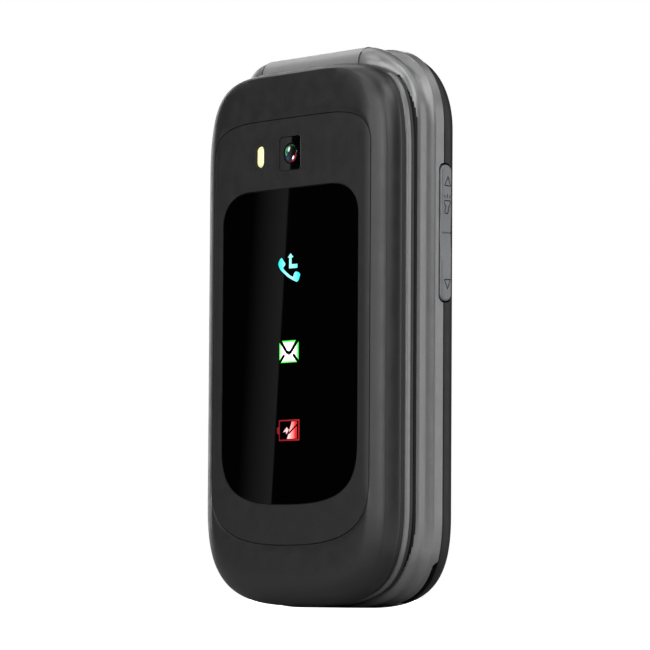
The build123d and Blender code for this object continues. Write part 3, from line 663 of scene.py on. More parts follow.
@dataclass(frozen=True)
class Glow(Finish):
    """A backlit print that fades from one colour to another along X, and where asked along Z."""

    ramp: Point2 = (0.0, 1.0)
    fade_from: float = 0.0
    fade_to: float = 1.0
    both_ways: bool = False
    rise_middle: float = 0.0
    rise_share: float = 0.0

    def share(self, tree: bpy.types.NodeTree,
              where: bpy.types.NodeSocket) -> bpy.types.NodeSocket:
        """How far the fade has come, by the place along X and the rise along Z.

        Args:
            tree: The material's tree.
            where: The socket that gives the place.

        Returns:
            The socket that gives the share of the second colour.
        """
        parts = add_node(tree, "ShaderNodeSeparateXYZ", None, {"Vector": where}).outputs
        come = parts[Along.X.value]
        if self.both_ways:
            come = add_node(tree, "ShaderNodeMath", None, {0: come},
                            operation="ABSOLUTE").outputs[0]
        if self.rise_share:
            rise = parts[Along.Z.value]
            for operation, value in (("SUBTRACT", self.rise_middle * MM), ("ABSOLUTE", 0.0),
                                     ("MULTIPLY", self.rise_share)):
                rise = add_node(tree, "ShaderNodeMath", {1: value}, {0: rise},
                                operation=operation).outputs[0]
            come = add_node(tree, "ShaderNodeMath", None, {0: come, 1: rise},
                            operation="MAXIMUM").outputs[0]
        return add_node(tree, "ShaderNodeMapRange", {"From Min": self.fade_from * MM,
                                                     "From Max": self.fade_to * MM},
                        {"Value": come}).outputs["Result"]


# The height of the middle sign in the display window, which the green light is centred on.
LETTER_Z = middle("outer_display_window", Along.Z) - 1.1

# Satin two-part lacquer sprayed on moulded ABS: soft, dark, with a broad dull highlight.
SATIN_SHELL = FlakePaint("satin_lacquer_on_abs", "222223", "2d2d2e", 0.40, coat=0.15,
                         coat_roughness=0.3)
# Spark-eroded moulded ABS inlay, a little flatter than the shell round it.
FRONT_PANEL = FlakePaint("matt_lacquered_inlay", "202021", "29292a", 0.45)
# Moulded ABS in the colour of the shell, left a little coarser on the inside; on the ends of the
# hinge barrel it is painted shade in the seams.
INNER_SHELL = Finish("moulded_dark_abs", "202022", "272729", 0.48, mottle_mm=9, grain_mm=0.2)
# Black-printed acrylic pane: a deep black with a clear mirror on it.
BLACK_PANE = Finish("black_printed_acrylic", "010101", "020202", 0.012, ior=1.49, mottle_mm=30,
                    grain_mm=12, grain_depth_mm=0.0002, rough_spread=0.004)
# Matt black print round the keys and inside the base, which is also painted shade in the gap under
# the lid's rim and round the volume rocker.
KEY_BED_AND_PAINTED_SHADE = Finish("matt_black_key_bed_and_painted_shade", "0c0c0d", "121213", 0.6, ior=1.45, mottle_mm=9, grain_mm=0.2)
# The camera's pane of harder, more strongly mirroring glass over black print.
CAMERA_GLASS = replace(BLACK_PANE, name="black_printed_mineral_glass", ior=2.2)
# Metallic lacquer on the moulded base: mid grey, with soft bright bands where it turns.
GREY_LACQUER = FlakePaint("grey_metallic_lacquer", "868687", "959596", 0.36, metallic=0.5,
                          flake_mm=0.12)
# The same lacquer in a lighter silver on the hinge barrel.
SILVER_LACQUER = replace(GREY_LACQUER, name="silver_metallic_lacquer", colour="9b9b9c",
                         second_colour="a7a7a8", roughness=0.4, metallic=0.4)
# Soft-feel black lacquer on the lift-off back.
BACK_LACQUER = Finish("soft_feel_black_lacquer", "0e0e0f", "131314", 0.52, grain_mm=0.16)
# Moulded flash lens of yellowish polycarbonate, with a painted glow: it gives off light although
# the flash is off.
FLASH_PLASTIC_PAINTED_GLOW = Finish("yellow_polycarbonate_lens_painted_glow", "efe9b2", "f6f1c0", 0.3, ior=1.58, coat=0.1,
                       grain_mm=0.5, mottle_mm=3, emission=0.42)
# Moulded grey rocker with a fine satin grain.
ROCKER_PLASTIC = Finish("satin_grey_abs", "77787a", "7d7e80", 0.38, metallic=0.3, grain_mm=0.15)
# Matt black: painted shade in fine seams, holes and engraved strokes that hold no light, and black
# print on the icon mask film and the display pane's edges.
BLACK_PRINT_AND_PAINTED_SHADE = Finish("black_print_and_painted_shade", "050505", "080808", 0.7)
# Lens glass with a green and violet coating.
LENS_GLASS = Finish("coated_lens_glass", "05080a", "0b1410", 0.02, ior=1.7, mottle_mm=3,
                    grain_mm=4, grain_depth_mm=0.0005, rough_spread=0.005, coat=1.0,
                    coat_roughness=0.01)
# Painted reflections on the front lens: glowing prints in the colour that each lens coating throws
# back, and a painted glint.
GREEN_LENS_REFLECTION = Finish("green_lens_painted_reflection", "28503e", "58967a", 0.1, emission=0.5, mottle_mm=0.6)
LEAF_LENS_REFLECTION = Finish("leaf_lens_painted_reflection", "1c4a22", "5f9a5a", 0.1, emission=0.5, mottle_mm=0.4)
BLUE_LENS_REFLECTION = Finish("blue_lens_painted_reflection", "1c2c4c", "2c4470", 0.1, emission=0.5, mottle_mm=0.6)
RED_LENS_REFLECTION = Finish("red_lens_painted_reflection", "7a1024", "a41c34", 0.1, emission=0.6, mottle_mm=0.5)
GLINT = Finish("bright_lens_painted_reflection", "d6ffe9", "f2fff8", 0.1, emission=0.9, mottle_mm=0.6)
# Black anodised lens barrel.
BARREL_BLACK = Finish("black_anodised_barrel", "0c0c0d", "141415", 0.3, metallic=0.4,
                      grain_mm=0.1, grain_depth_mm=0.002)
# Backlit translucent prints: light-emitting diodes behind a diffusing sheet.
CYAN_LIGHT = Glow("cyan_backlight", "8cdeda", "22d4da", 0.4, emission=0.82, fade_from=0.9,
                  fade_to=2.9, both_ways=True)
GREEN_LIGHT = Glow("green_to_white_backlight", "ffffff", "16d816", 0.4, emission=0.95,
                   fade_from=1.9, fade_to=2.7, both_ways=True, rise_share=1.34,
                   rise_middle=LETTER_Z)
RED_LIGHT = Glow("red_backlight", "6e0c10", "941416", 0.4, emission=0.75, fade_from=-3,
                 fade_to=3)
ROSE_LIGHT = Glow("rose_to_red_backlight", "f2b4b4", "d81a1a", 0.4, emission=0.9, fade_from=0.2,
                  fade_to=2.0)
# Glass-fibre epoxy board with a green solder mask.
SOLDER_MASK = Finish("green_solder_mask", "0d3b22", "12512f", 0.32, coat=0.4, mottle_mm=1.2,
                     grain_mm=0.4, grain_depth_mm=0.01)
# Black epoxy of moulded chip packages.
CHIP_EPOXY = Finish("black_epoxy_package", "101011", "19191a", 0.55, grain_mm=0.1,
                    mottle_mm=2)
# Glass-filled nylon of the inner frame: matt, slightly streaked black.
FRAME_NYLON = Finish("glass_filled_nylon", "141415", "1d1d1e", 0.6, mottle_mm=4, grain_mm=0.25,
                     grain_depth_mm=0.01, rough_spread=0.08)
# Cold-rolled nickel-plated steel.
PLATED_STEEL = Finish("nickel_plated_steel", "a9a8a4", "bdbcb8", 0.28, metallic=1.0, mottle_mm=3,
                      grain_mm=0.5, grain_depth_mm=0.003, rough_spread=0.08)
# Gold flash on phosphor-bronze springs.
GOLD_FLASH = Finish("gold_flash_on_bronze", "c79a4a", "dcb567", 0.25, metallic=1.0, mottle_mm=1,
                    grain_depth_mm=0.002)
# Amber polyimide film with copper tracks inside.
POLYIMIDE = Finish("polyimide_flex", "8a4a12", "a4611f", 0.3, coat=0.3, mottle_mm=1.5,
                   grain_depth_mm=0.002)
# Moulded silicone rubber: matt and dense.
SILICONE = Finish("moulded_silicone", "1b1b1c", "222223", 0.72, ior=1.43, grain_mm=0.2,
                  grain_depth_mm=0.008)
# Anodised aluminium sheet, brushed along the phone.
ANODISED_SHEET = Finish("anodised_aluminium_sheet", "55565a", "63646a", 0.34, metallic=1.0,
                        mottle_mm=8, grain_mm=0.18, grain_depth_mm=0.003, rough_spread=0.06)
# Moulded polycarbonate key caps with a hard clear coat.
KEY_CAP = Finish("hard_coated_polycarbonate", "1d1d1f", "242427", 0.3, ior=1.58, coat=0.5,
                 coat_roughness=0.15, mottle_mm=9, grain_mm=0.3, grain_depth_mm=0.003)
# White pad-printed ink.
KEY_INK = Finish("white_pad_print", "dfe0e0", "eeeeee", 0.6, mottle_mm=1, grain_mm=0.1)
CALL_INK = replace(KEY_INK, name="green_pad_print", colour="27a844", second_colour="38bf57")
END_INK = replace(KEY_INK, name="red_pad_print", colour="c3262b", second_colour="d8393d")
# Clear diffusing acrylic of the light guides.
DIFFUSER = Finish("diffusing_acrylic", "d2d6d8", "e2e5e6", 0.35, ior=1.49, mottle_mm=2)
# Liquid crystal panel at rest: a very dark blue grey under its glass.
CRYSTAL_PANEL = Finish("resting_liquid_crystal", "0b0e13", "0f131a", 0.12, coat=0.6, mottle_mm=14,
                       grain_mm=3, grain_depth_mm=0.0005, rough_spread=0.02)
# Printed shrink sleeve over the battery's aluminium can.
BATTERY_SLEEVE = Finish("printed_shrink_sleeve", "2c3038", "353a43", 0.42, coat=0.2, mottle_mm=10,
                        grain_mm=0.6)
# Clear polyester film that holds the snap domes.
DOME_FILM = Finish("polyester_film", "b9bbb6", "c8cac5", 0.3, mottle_mm=5, grain_depth_mm=0.002)


def dress(name: str, piece: bpy.types.Object, finish: Finish, body: str,
          stands_for: Sequence[str] = ()) -> None:
    """Gives a finished piece its name, material, body and place in the record.

    Args:
        name: The piece's name.
        piece: The piece, at the origin.
        finish: Its surface finish.
        body: The CAD body that it rides on.
        stands_for: The CAD nodes that it replaces.
    """
    piece.name = name
    piece.data.materials.clear()
    piece.data.materials.append(finish.material())
    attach(piece, body)
    if stands_for:
        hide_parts(*stands_for)
    log.info("%s: %d faces, on %s", name, len(piece.data.polygons), body)


def paint(piece: bpy.types.Object, finish: Finish,
          covers: Callable[[Vector, Vector], bool]) -> None:
    """Gives some faces of a dressed piece another finish.

    Args:
        piece: The piece.
        finish: The other finish.
        covers: Tells from a face's middle, in millimetres, and its normal whether it has it.
    """
    piece.data.materials.append(finish.material())
    last = len(piece.data.materials) - 1
    for face in piece.data.polygons:
        if covers(face.center / MM, face.normal):
            face.material_index = last


def finish_node(node: str, finish: Finish) -> None:
    """Gives a CAD node whose shape stays a material.

    Args:
        node: The CAD node.
        finish: Its surface finish.
    """
    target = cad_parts[node]
    target.data.materials.clear()
    target.data.materials.append(finish.material())
    log.info("%s: finished as %s", node, finish.name)


# === what repeats =========================================================================
class ScatterTree:
    """A node tree that puts one small body on every point of a mesh, with a finish."""

    def __init__(self, name: str, finish: Finish) -> None:
        """Builds the tree.

        Args:
            name: The tree's name.
            finish: What the bodies are made of.
        """
        tree = bpy.data.node_groups.new(name, "GeometryNodeTree")
        face = tree.interface
        face.new_socket("Geometry", in_out="INPUT", socket_type="NodeSocketGeometry")
        for label in ("Radius", "Foot", "Rise", "Spread", "Sides", "Seed"):
            kind = "NodeSocketInt" if label in ("Sides", "Seed") else "NodeSocketFloat"
            face.new_socket(label, in_out="INPUT", socket_type=kind)
        face.new_socket("Geometry", in_out="OUTPUT", socket_type="NodeSocketGeometry")
        given = add_node(tree, "NodeGroupInput").outputs
        cone = add_node(tree, "GeometryNodeMeshCone", None,
                        {"Vertices": given["Sides"], "Radius Top": given["Radius"],
                         "Radius Bottom": given["Foot"], "Depth": given["Rise"]})
        upright = add_node(tree, "GeometryNodeTransform",
                           {"Rotation": (math.radians(90), math.radians(45), 0)},
                           {"Geometry": cone.outputs["Mesh"]})
        least = add_node(tree, "ShaderNodeMath", {0: 1.0}, {1: given["Spread"]},
                         operation="SUBTRACT")
        size = add_node(tree, "FunctionNodeRandomValue", {"Max": 1.0},
                        {"Min": least.outputs[0], "Seed": given["Seed"]}, data_type="FLOAT")
        every = add_node(tree, "GeometryNodeInstanceOnPoints", None,
                         {"Points": given["Geometry"], "Instance": upright.outputs["Geometry"],
                          "Scale": size.outputs["Value"]})
        real = add_node(tree, "GeometryNodeRealizeInstances", None,
                        {"Geometry": every.outputs["Instances"]})
        dressed = add_node(tree, "GeometryNodeSetMaterial", {"Material": finish.material()},
                           {"Geometry": real.outputs["Geometry"]})
        add_node(tree, "NodeGroupOutput", None, {"Geometry": dressed.outputs["Geometry"]})
        self.tree = tree

    def scatter(self, points: Iterable[Point3], radius: float, foot: float, rise: float,
                sides: int, spread: float = 0.0, seed: int = 3) -> bpy.types.Object:
        """Puts the bodies on their points and makes them a plain mesh.

        Args:
            points: Where the bodies' middles are.
            radius: A body's radius at its front.
            foot: Its radius at its back.
            rise: How tall it is.
            sides: How many sides it has.
            spread: How much smaller than full size a body may be, as a share.
            seed: The seed of the sizes.

        Returns:
            The piece.
        """
        mesh = bpy.data.meshes.new("points")
        mesh.from_pydata([Vector(point) * MM for point in points], [], [])
        piece = place("points", mesh)
        modifier = piece.modifiers.new("scatter", "NODES")
        modifier.node_group = self.tree
        values = {"Radius": radius * MM, "Foot": foot * MM, "Rise": rise * MM, "Spread": spread,
                  "Sides": sides, "Seed": seed}
        for socket in self.tree.interface.items_tree:
            if socket.in_out == "INPUT" and socket.name in values:
                modifier[socket.identifier] = values[socket.name]
        return bake(piece)


PUSH_KEYS = (*(f"key_{digit}" for digit in range(10)), "key_star", "key_hash", "key_call",
             "key_end", "key_soft_left", "key_soft_right")


# === the lid ==============================================================================
@dataclass
class LidShell:
    """The outer cover of the lid with its inlaid panel."""

    front: float = span("lid_front_panel", Along.Y)[0]
    panel_back: float = span("lid_front_panel", Along.Y)[1]
    outline: Outline = node_outline("lid_outer_cover", low_land=3.4, low_rise=19.0,
                                    low_full=0.756, high_land=8.4, high_rise=18.3,
                                    high_full=0.80)
    inlay: Outline = node_outline("lid_front_panel", low_land=1.0, low_rise=11.1,
                                  low_full=0.71, high_land=9.2, high_rise=6.7, high_full=0.74)
    glass: Outline = node_outline("outer_display_window", low_land=1.0, low_rise=10.9,
                                  low_full=0.745, high_land=11.8, high_rise=6.2, high_full=0.62)
    seam: float = -5.2
    seam_edge: float = 0.1
    edge_depth: float = 4.2
    side_reach: float = 6.0
    low_reach: float = 5.3
    high_reach: float = 1.8
    kept_share: float = 0.62
    side_wall: float = 1.2
    front_wall: float = 1.6
    panel_fit: float = 0.1
    seam_break: float = 0.14
    panel_crown: float = 0.04
    panel_crown_width: float = 2.2
    panel_edge: float = 0.1
    camera_corner: float = 0.7

    def edge_loop(self, share: float) -> list[Point2]:
        """The outline moved inwards by a share of the round edge's reach."""
        return self.outline.loop(self.side_reach * share, self.low_reach * share,
                                 self.high_reach * share)

    def surface(self, loop: Sequence[Point2], sink: float = 0.0) -> list[Point3]:
        """A loop laid on the lid's face, which falls off elliptically towards the rim.

        Args:
            loop: As many points as the outline has, inside the round edge's first rows.
            sink: How far under the face it lies.

        Returns:
            The points.
        """
        laid = []
        for outer, inner, point in zip(self.edge_loop(0), self.edge_loop(self.kept_share), loop):
            way = Vector(inner) - Vector(outer)
            passed = (Vector(point) - Vector(outer)).dot(way) / way.length_squared
            near = min(max(1 - passed * self.kept_share, 0.0), 1.0)
            depth = self.front + sink + self.edge_depth * (1 - math.sqrt(1 - near * near))
            laid.append((point[0], depth, point[1]))
        return laid

    def cover(self) -> bpy.types.Object:
        """The cover, from the floor of the panel's recess over its round edge to the inside.

        Returns:
            The cover.
        """
        rings = [at_depth(self.inlay.loop(-self.panel_fit), self.panel_back)]
        rings += [self.surface(self.inlay.loop(-self.panel_fit - inset), sink)
                  for inset, sink in broken(self.seam_break)]
        edge = self.inlay.loop(-self.panel_fit - self.seam_break)
        inner = self.edge_loop(self.kept_share)
        fade_rows, edge_rows = 5, 16
        for row in range(1, fade_rows + 1):
            share = row / fade_rows
            rings.append(self.surface([(blend(a[0], b[0], share), blend(a[1], b[1], share))
                                       for a, b in zip(edge, inner)]))
        start = math.asin(1 - self.kept_share)
        for row in range(1, edge_rows + 1):
            turn = blend(start, math.pi / 2, row / edge_rows)
            rings.append(at_depth(self.edge_loop(1 - math.sin(turn)),
                                  self.front + self.edge_depth * (1 - math.cos(turn))))
        rim = [(inset, self.seam - drop) for inset, drop in broken(self.seam_edge)[1:]]
        rings += stack(self.outline.loop, rim + [(self.side_wall, self.seam),
                                                 (self.side_wall, self.front + self.front_wall)])
        return loft(rings)

    def camera_opening(self, grow: float) -> list[Point2]:
        """The opening for the camera window, grown all round."""
        return node_loop("camera_window", grow, self.camera_corner + grow)

    def panel(self) -> bpy.types.Object:
        """The inlaid panel, slightly crowned at its edge, with its three openings.

        Returns:
            The panel.
        """
        rings = [at_depth(self.inlay.loop(), self.panel_back)]
        rings += [self.surface(self.inlay.loop(inset), self.panel_crown + sink)
                  for inset, sink in broken(self.panel_edge)]
        steps, overrun = 8, 1.0
        for share in (step / steps for step in range(1, steps + 1)):
            inset = blend(self.panel_edge, self.panel_crown_width, share)
            rings.append(self.surface(self.inlay.loop(inset), self.panel_crown * (1 - share) ** 2))
        sheet = loft(rings)
        for loop in (self.glass.loop(-self.panel_fit), self.camera_opening(self.panel_fit),
                     node_loop("flash_lens", 2 * self.panel_fit)):
            combine(sheet, slab(loop, self.front - overrun, self.panel_back + overrun))
        shade(sheet.data, FACET_ANGLE)
        return sheet

    def build(self) -> None:
        """Makes and dresses the cover and the panel."""
        dress("lid_cover_shell", self.cover(), SATIN_SHELL, "lid", ["lid_outer_cover"])
        dress("lid_inlay_panel", self.panel(), FRONT_PANEL, "lid", ["lid_front_panel"])


@dataclass
class OuterWindows:
    """The display window with its lit pictograms, the camera and the flash."""

    shell: LidShell
    sink: float = 0.04
    mask: float = 0.16
    edge: float = 0.05
    camera_edge: float = 0.03
    lens_radius: float = 2.0
    lens_gap: float = 0.2
    lens_sink: float = 0.12
    lens_edge: float = 0.05
    lens_depth: float = 0.2
    # Depths of the painted reflections' plates, from the front lens's face.
    painted_reflection: Point2 = (-0.01, 0.03)
    flash_sink: float = 0.06

    def display(self) -> bpy.types.Object:
        """The tall black window."""
        return pane(self.shell.glass.loop, self.shell.front + self.sink,
                    self.shell.panel_back - self.mask, self.edge)

    def camera_pane(self) -> bpy.types.Object:
        """The square camera window, open where the lens looks out.

        Returns:
            The window.
        """
        front = self.shell.front + self.sink
        piece = pane(lambda inset: self.shell.camera_opening(-inset), front,
                     self.shell.panel_back, self.camera_edge)
        combine(piece, turned([(self.lens_radius, front - 1), (self.lens_radius, front + 2)], 0,
                              middle("camera_window", Along.Z)))
        shade(piece.data, FACET_ANGLE)
        return piece

    def lens(self) -> None:
        """The lens barrel with its rings, the bulging front lens and the painted reflections on it.
        """
        z = middle("camera_window", Along.Z)
        front = self.shell.front + self.sink
        wall = self.lens_radius - 0.02
        rings = [(wall, 0.75), (wall, 0.1), (1.86, 0.1), (1.8, 0.35), (1.5, 0.4), (1.3, 0.5),
                 (0.6, 0.55)]
        barrel = turned([(radius, front + sink) for radius, sink in rings], 0, z)
        dress("camera_lens_barrel", barrel, BARREL_BLACK, "lid")
        radius, face = self.lens_radius - self.lens_gap, front + self.lens_sink
        profile = [(radius, face + self.lens_depth), (radius, face + self.lens_edge),
                   (radius - self.lens_edge, face)]
        dress("camera_front_lens", turned(profile, 0, z), LENS_GLASS, "lid")
        # Glowing plates on the front lens: painted reflections and painted glints.
        for name, finish, loops in self.painted_reflections():
            painted_reflection = plates(loops, (0, z), *(face + depth for depth in self.painted_reflection))
            dress(f"camera_lens_{name}", painted_reflection, finish, "lid")

    def painted_reflections(self) -> list[tuple[str, Finish, list[list[Point2]]]]:
        """The painted reflections: glowing crescents and spots that stand in for what the lens
        coatings mirror.

        Returns:
            The name, the finish and the loops of each, from the lens's middle.
        """

        def crescent(inner: float, outer: float, start: float, end: float) -> list[Point2]:
            """A crescent that is full in its middle and pointed at its ends.

            Args:
                inner: Its least radius.
                outer: Its greatest radius.
                start: Its first angle, in degrees.
                end: Its last angle, in degrees.

            Returns:
                Its outline.
            """
            middle_radius, half, steps = (inner + outer) / 2, (outer - inner) / 2, 14
            shares = [step / steps for step in range(steps + 1)]
            turns = [math.radians(blend(start, end, share)) for share in shares]
            fullness = [math.sin(math.pi * share) for share in shares]
            rim, back = ([((middle_radius + side * f) * math.cos(a),
                           (middle_radius + side * f) * math.sin(a))
                          for a, f in zip(turns, fullness)] for side in (half, -half))
            return rim + back[-2:0:-1]

        return [("green_painted_reflection", GREEN_LENS_REFLECTION, [crescent(0.75, 1.72, 88, 205)]),
                ("leaf_painted_reflection", LEAF_LENS_REFLECTION, [crescent(1.56, 1.7, 45, 92),
                                                round_box(-1.05, 0.2, 0.42, 0.55, 0.2)]),
                ("blue_painted_reflection", BLUE_LENS_REFLECTION, [crescent(0.8, 1.6, 206, 250)]),
                ("red_painted_reflection", RED_LENS_REFLECTION, [crescent(1.32, 1.74, 268, 366)]),
                ("glints", GLINT, [stroke((-0.45, 1.05), (-0.68, 0.6), 0.5),
                                   stroke((0.62, -1.05), (0.86, -0.7), 0.36)])]

    def flash(self) -> bpy.types.Object:
        """The flash lens, an upright stadium with a domed face.

        Returns:
            The lens.
        """
        front = self.shell.front + self.flash_sink
        dome = [(inset, front + drop) for inset, drop in ((0.85, 0.0), (0.5, 0.02), (0.25, 0.08),
                                                          (0.08, 0.2), (0.0, 0.4))]
        return loft(stack(lambda inset: node_loop("flash_lens", -inset),
                          dome + [(0.0, span("flash_lens", Along.Y)[1])]))

    def build(self) -> None:
        """Makes and dresses the windows, the lens and the flash."""
        display = self.display()
        dress("outer_display_pane", display, BLACK_PANE, "lid", ["outer_display_window"])
        paint(display, BLACK_PRINT_AND_PAINTED_SHADE, lambda place, normal: normal.y > -0.99)
        dress("camera_pane", self.camera_pane(), CAMERA_GLASS, "lid", ["camera_window"])
        self.lens()
        # The flash lens glows with painted light.
        dress("flash_lens_dome", self.flash(), FLASH_PLASTIC_PAINTED_GLOW, "lid", ["flash_lens"])


@dataclass
class Pictograms:
    """The three lit signs behind the display window: a handset, a letter and a battery."""

    front: float
    thickness: float = 0.05
    mask_step: float = 0.009
    handset_at: Point2 = (0.05, LETTER_Z + 15.9)
    handset_size: Point2 = (0.93, 0.94)
    letter_at: Point2 = (0.1, LETTER_Z)
    battery_at: Point2 = (0.0, LETTER_Z - 14.8)

    def plate(self, name: str, loops: Sequence[Sequence[Point2]], at: Point2, layer: int,
              finish: Finish) -> None:
        """Thin plates with a finish.

        Args:
            name: The piece's name.
            loops: Each plate's outline, from the sign's own middle.
            at: The sign's middle in X and Z.
            layer: How many prints lie under it.
            finish: What it is made of.
        """
        face = self.front - layer * self.mask_step
        dress(name, plates(loops, at, face, face + self.thickness), finish, "lid")

    def handset(self) -> None:
        """A handset with an arrow: a missed call."""
        receiver = smooth_loop([(-2.58, 2.0), (-2.0, 1.5), (-1.36, 0.82), (-1.55, 0.4),
                                (-2.04, 0.0), (-1.6, -0.5), (-0.86, -1.0), (0.31, -1.68),
                                (1.1, -1.95), (1.25, -1.75), (1.66, -1.1), (2.3, -1.0),
                                (3.3, -1.45), (3.15, -2.2), (2.75, -2.8), (2.2, -3.0),
                                (1.09, -2.62), (-0.28, -2.02), (-1.65, -1.2), (-2.93, -0.25),
                                (-3.5, 0.72), (-3.3, 1.4)])
        arrow = [(0.33, 2.8), (-0.53, 2.02), (-0.12, 1.9), (-0.12, -0.22), (2.5, -0.22),
                 (2.5, 0.58), (0.62, 0.58), (0.62, 1.9), (1.19, 2.02)]
        wide, high = self.handset_size
        loops = [[(wide * x, high * z) for x, z in loop] for loop in (receiver, arrow)]
        self.plate("missed_call_sign", loops, self.handset_at, 1, CYAN_LIGHT)

    def letter(self) -> None:
        """An envelope with its flap."""
        outline = [(-2.85, -2.05), (2.78, -2.05), (2.78, 2.1), (-2.85, 2.1)]
        self.plate("letter_sign", [outline], self.letter_at, 1, GREEN_LIGHT)
        flap = [(-3.0, 2.4), (-2.35, 2.4), (-0.55, 0.25), (-0.1, 0.08), (0.35, 0.25), (2.2, 2.4),
                (2.9, 2.4), (2.9, 1.95), (0.7, -0.3), (0.2, -0.6), (-0.3, -0.6), (-0.85, -0.3),
                (-3.0, 1.95)]
        creases = [stroke(start, end, 0.62) for start, end in (((-2.85, -2.05), (-1.55, -0.75)),
                                                               ((2.78, -2.05), (1.35, -0.7)))]
        self.plate("letter_sign_lines", [flap, *creases], self.letter_at, 2, BLACK_PANE)

    def battery(self) -> None:
        """A battery that runs low, with a bolt."""
        case = [(-2.75, -1.98), (3.25, -1.98), (3.25, 1.98), (-2.75, 1.98)]
        nub = [(-3.3, -0.55), (-2.75, -0.75), (-2.75, 0.75), (-3.3, 0.55)]
        self.plate("battery_sign", [case, nub], self.battery_at, 1, RED_LIGHT)
        room = [(-2.48, -1.72), (2.96, -1.72), (2.96, 1.72), (-2.48, 1.72)]
        self.plate("battery_sign_room", [room], self.battery_at, 2, BLACK_PANE)
        charge = [(-0.3, -1.6), (2.5, -1.6), (2.5, 1.6), (1.05, 1.6)]
        bolt = [(-1.5, -0.35), (-0.35, 0.62), (-0.1, 0.1), (0.25, 0.25), (-0.5, -0.75),
                (-0.7, -0.2)]
        self.plate("battery_sign_charge", [charge, bolt], self.battery_at, 3, ROSE_LIGHT)
        streak = [(-0.6, -1.0), (0.25, -0.35), (2.5, 1.15), (2.5, 0.75), (0.4, -0.65)]
        self.plate("battery_sign_streak", [streak], self.battery_at, 4, BLACK_PANE)

    def build(self) -> None:
        """Makes and dresses the signs."""
        self.handset()
        self.letter()
        self.battery()


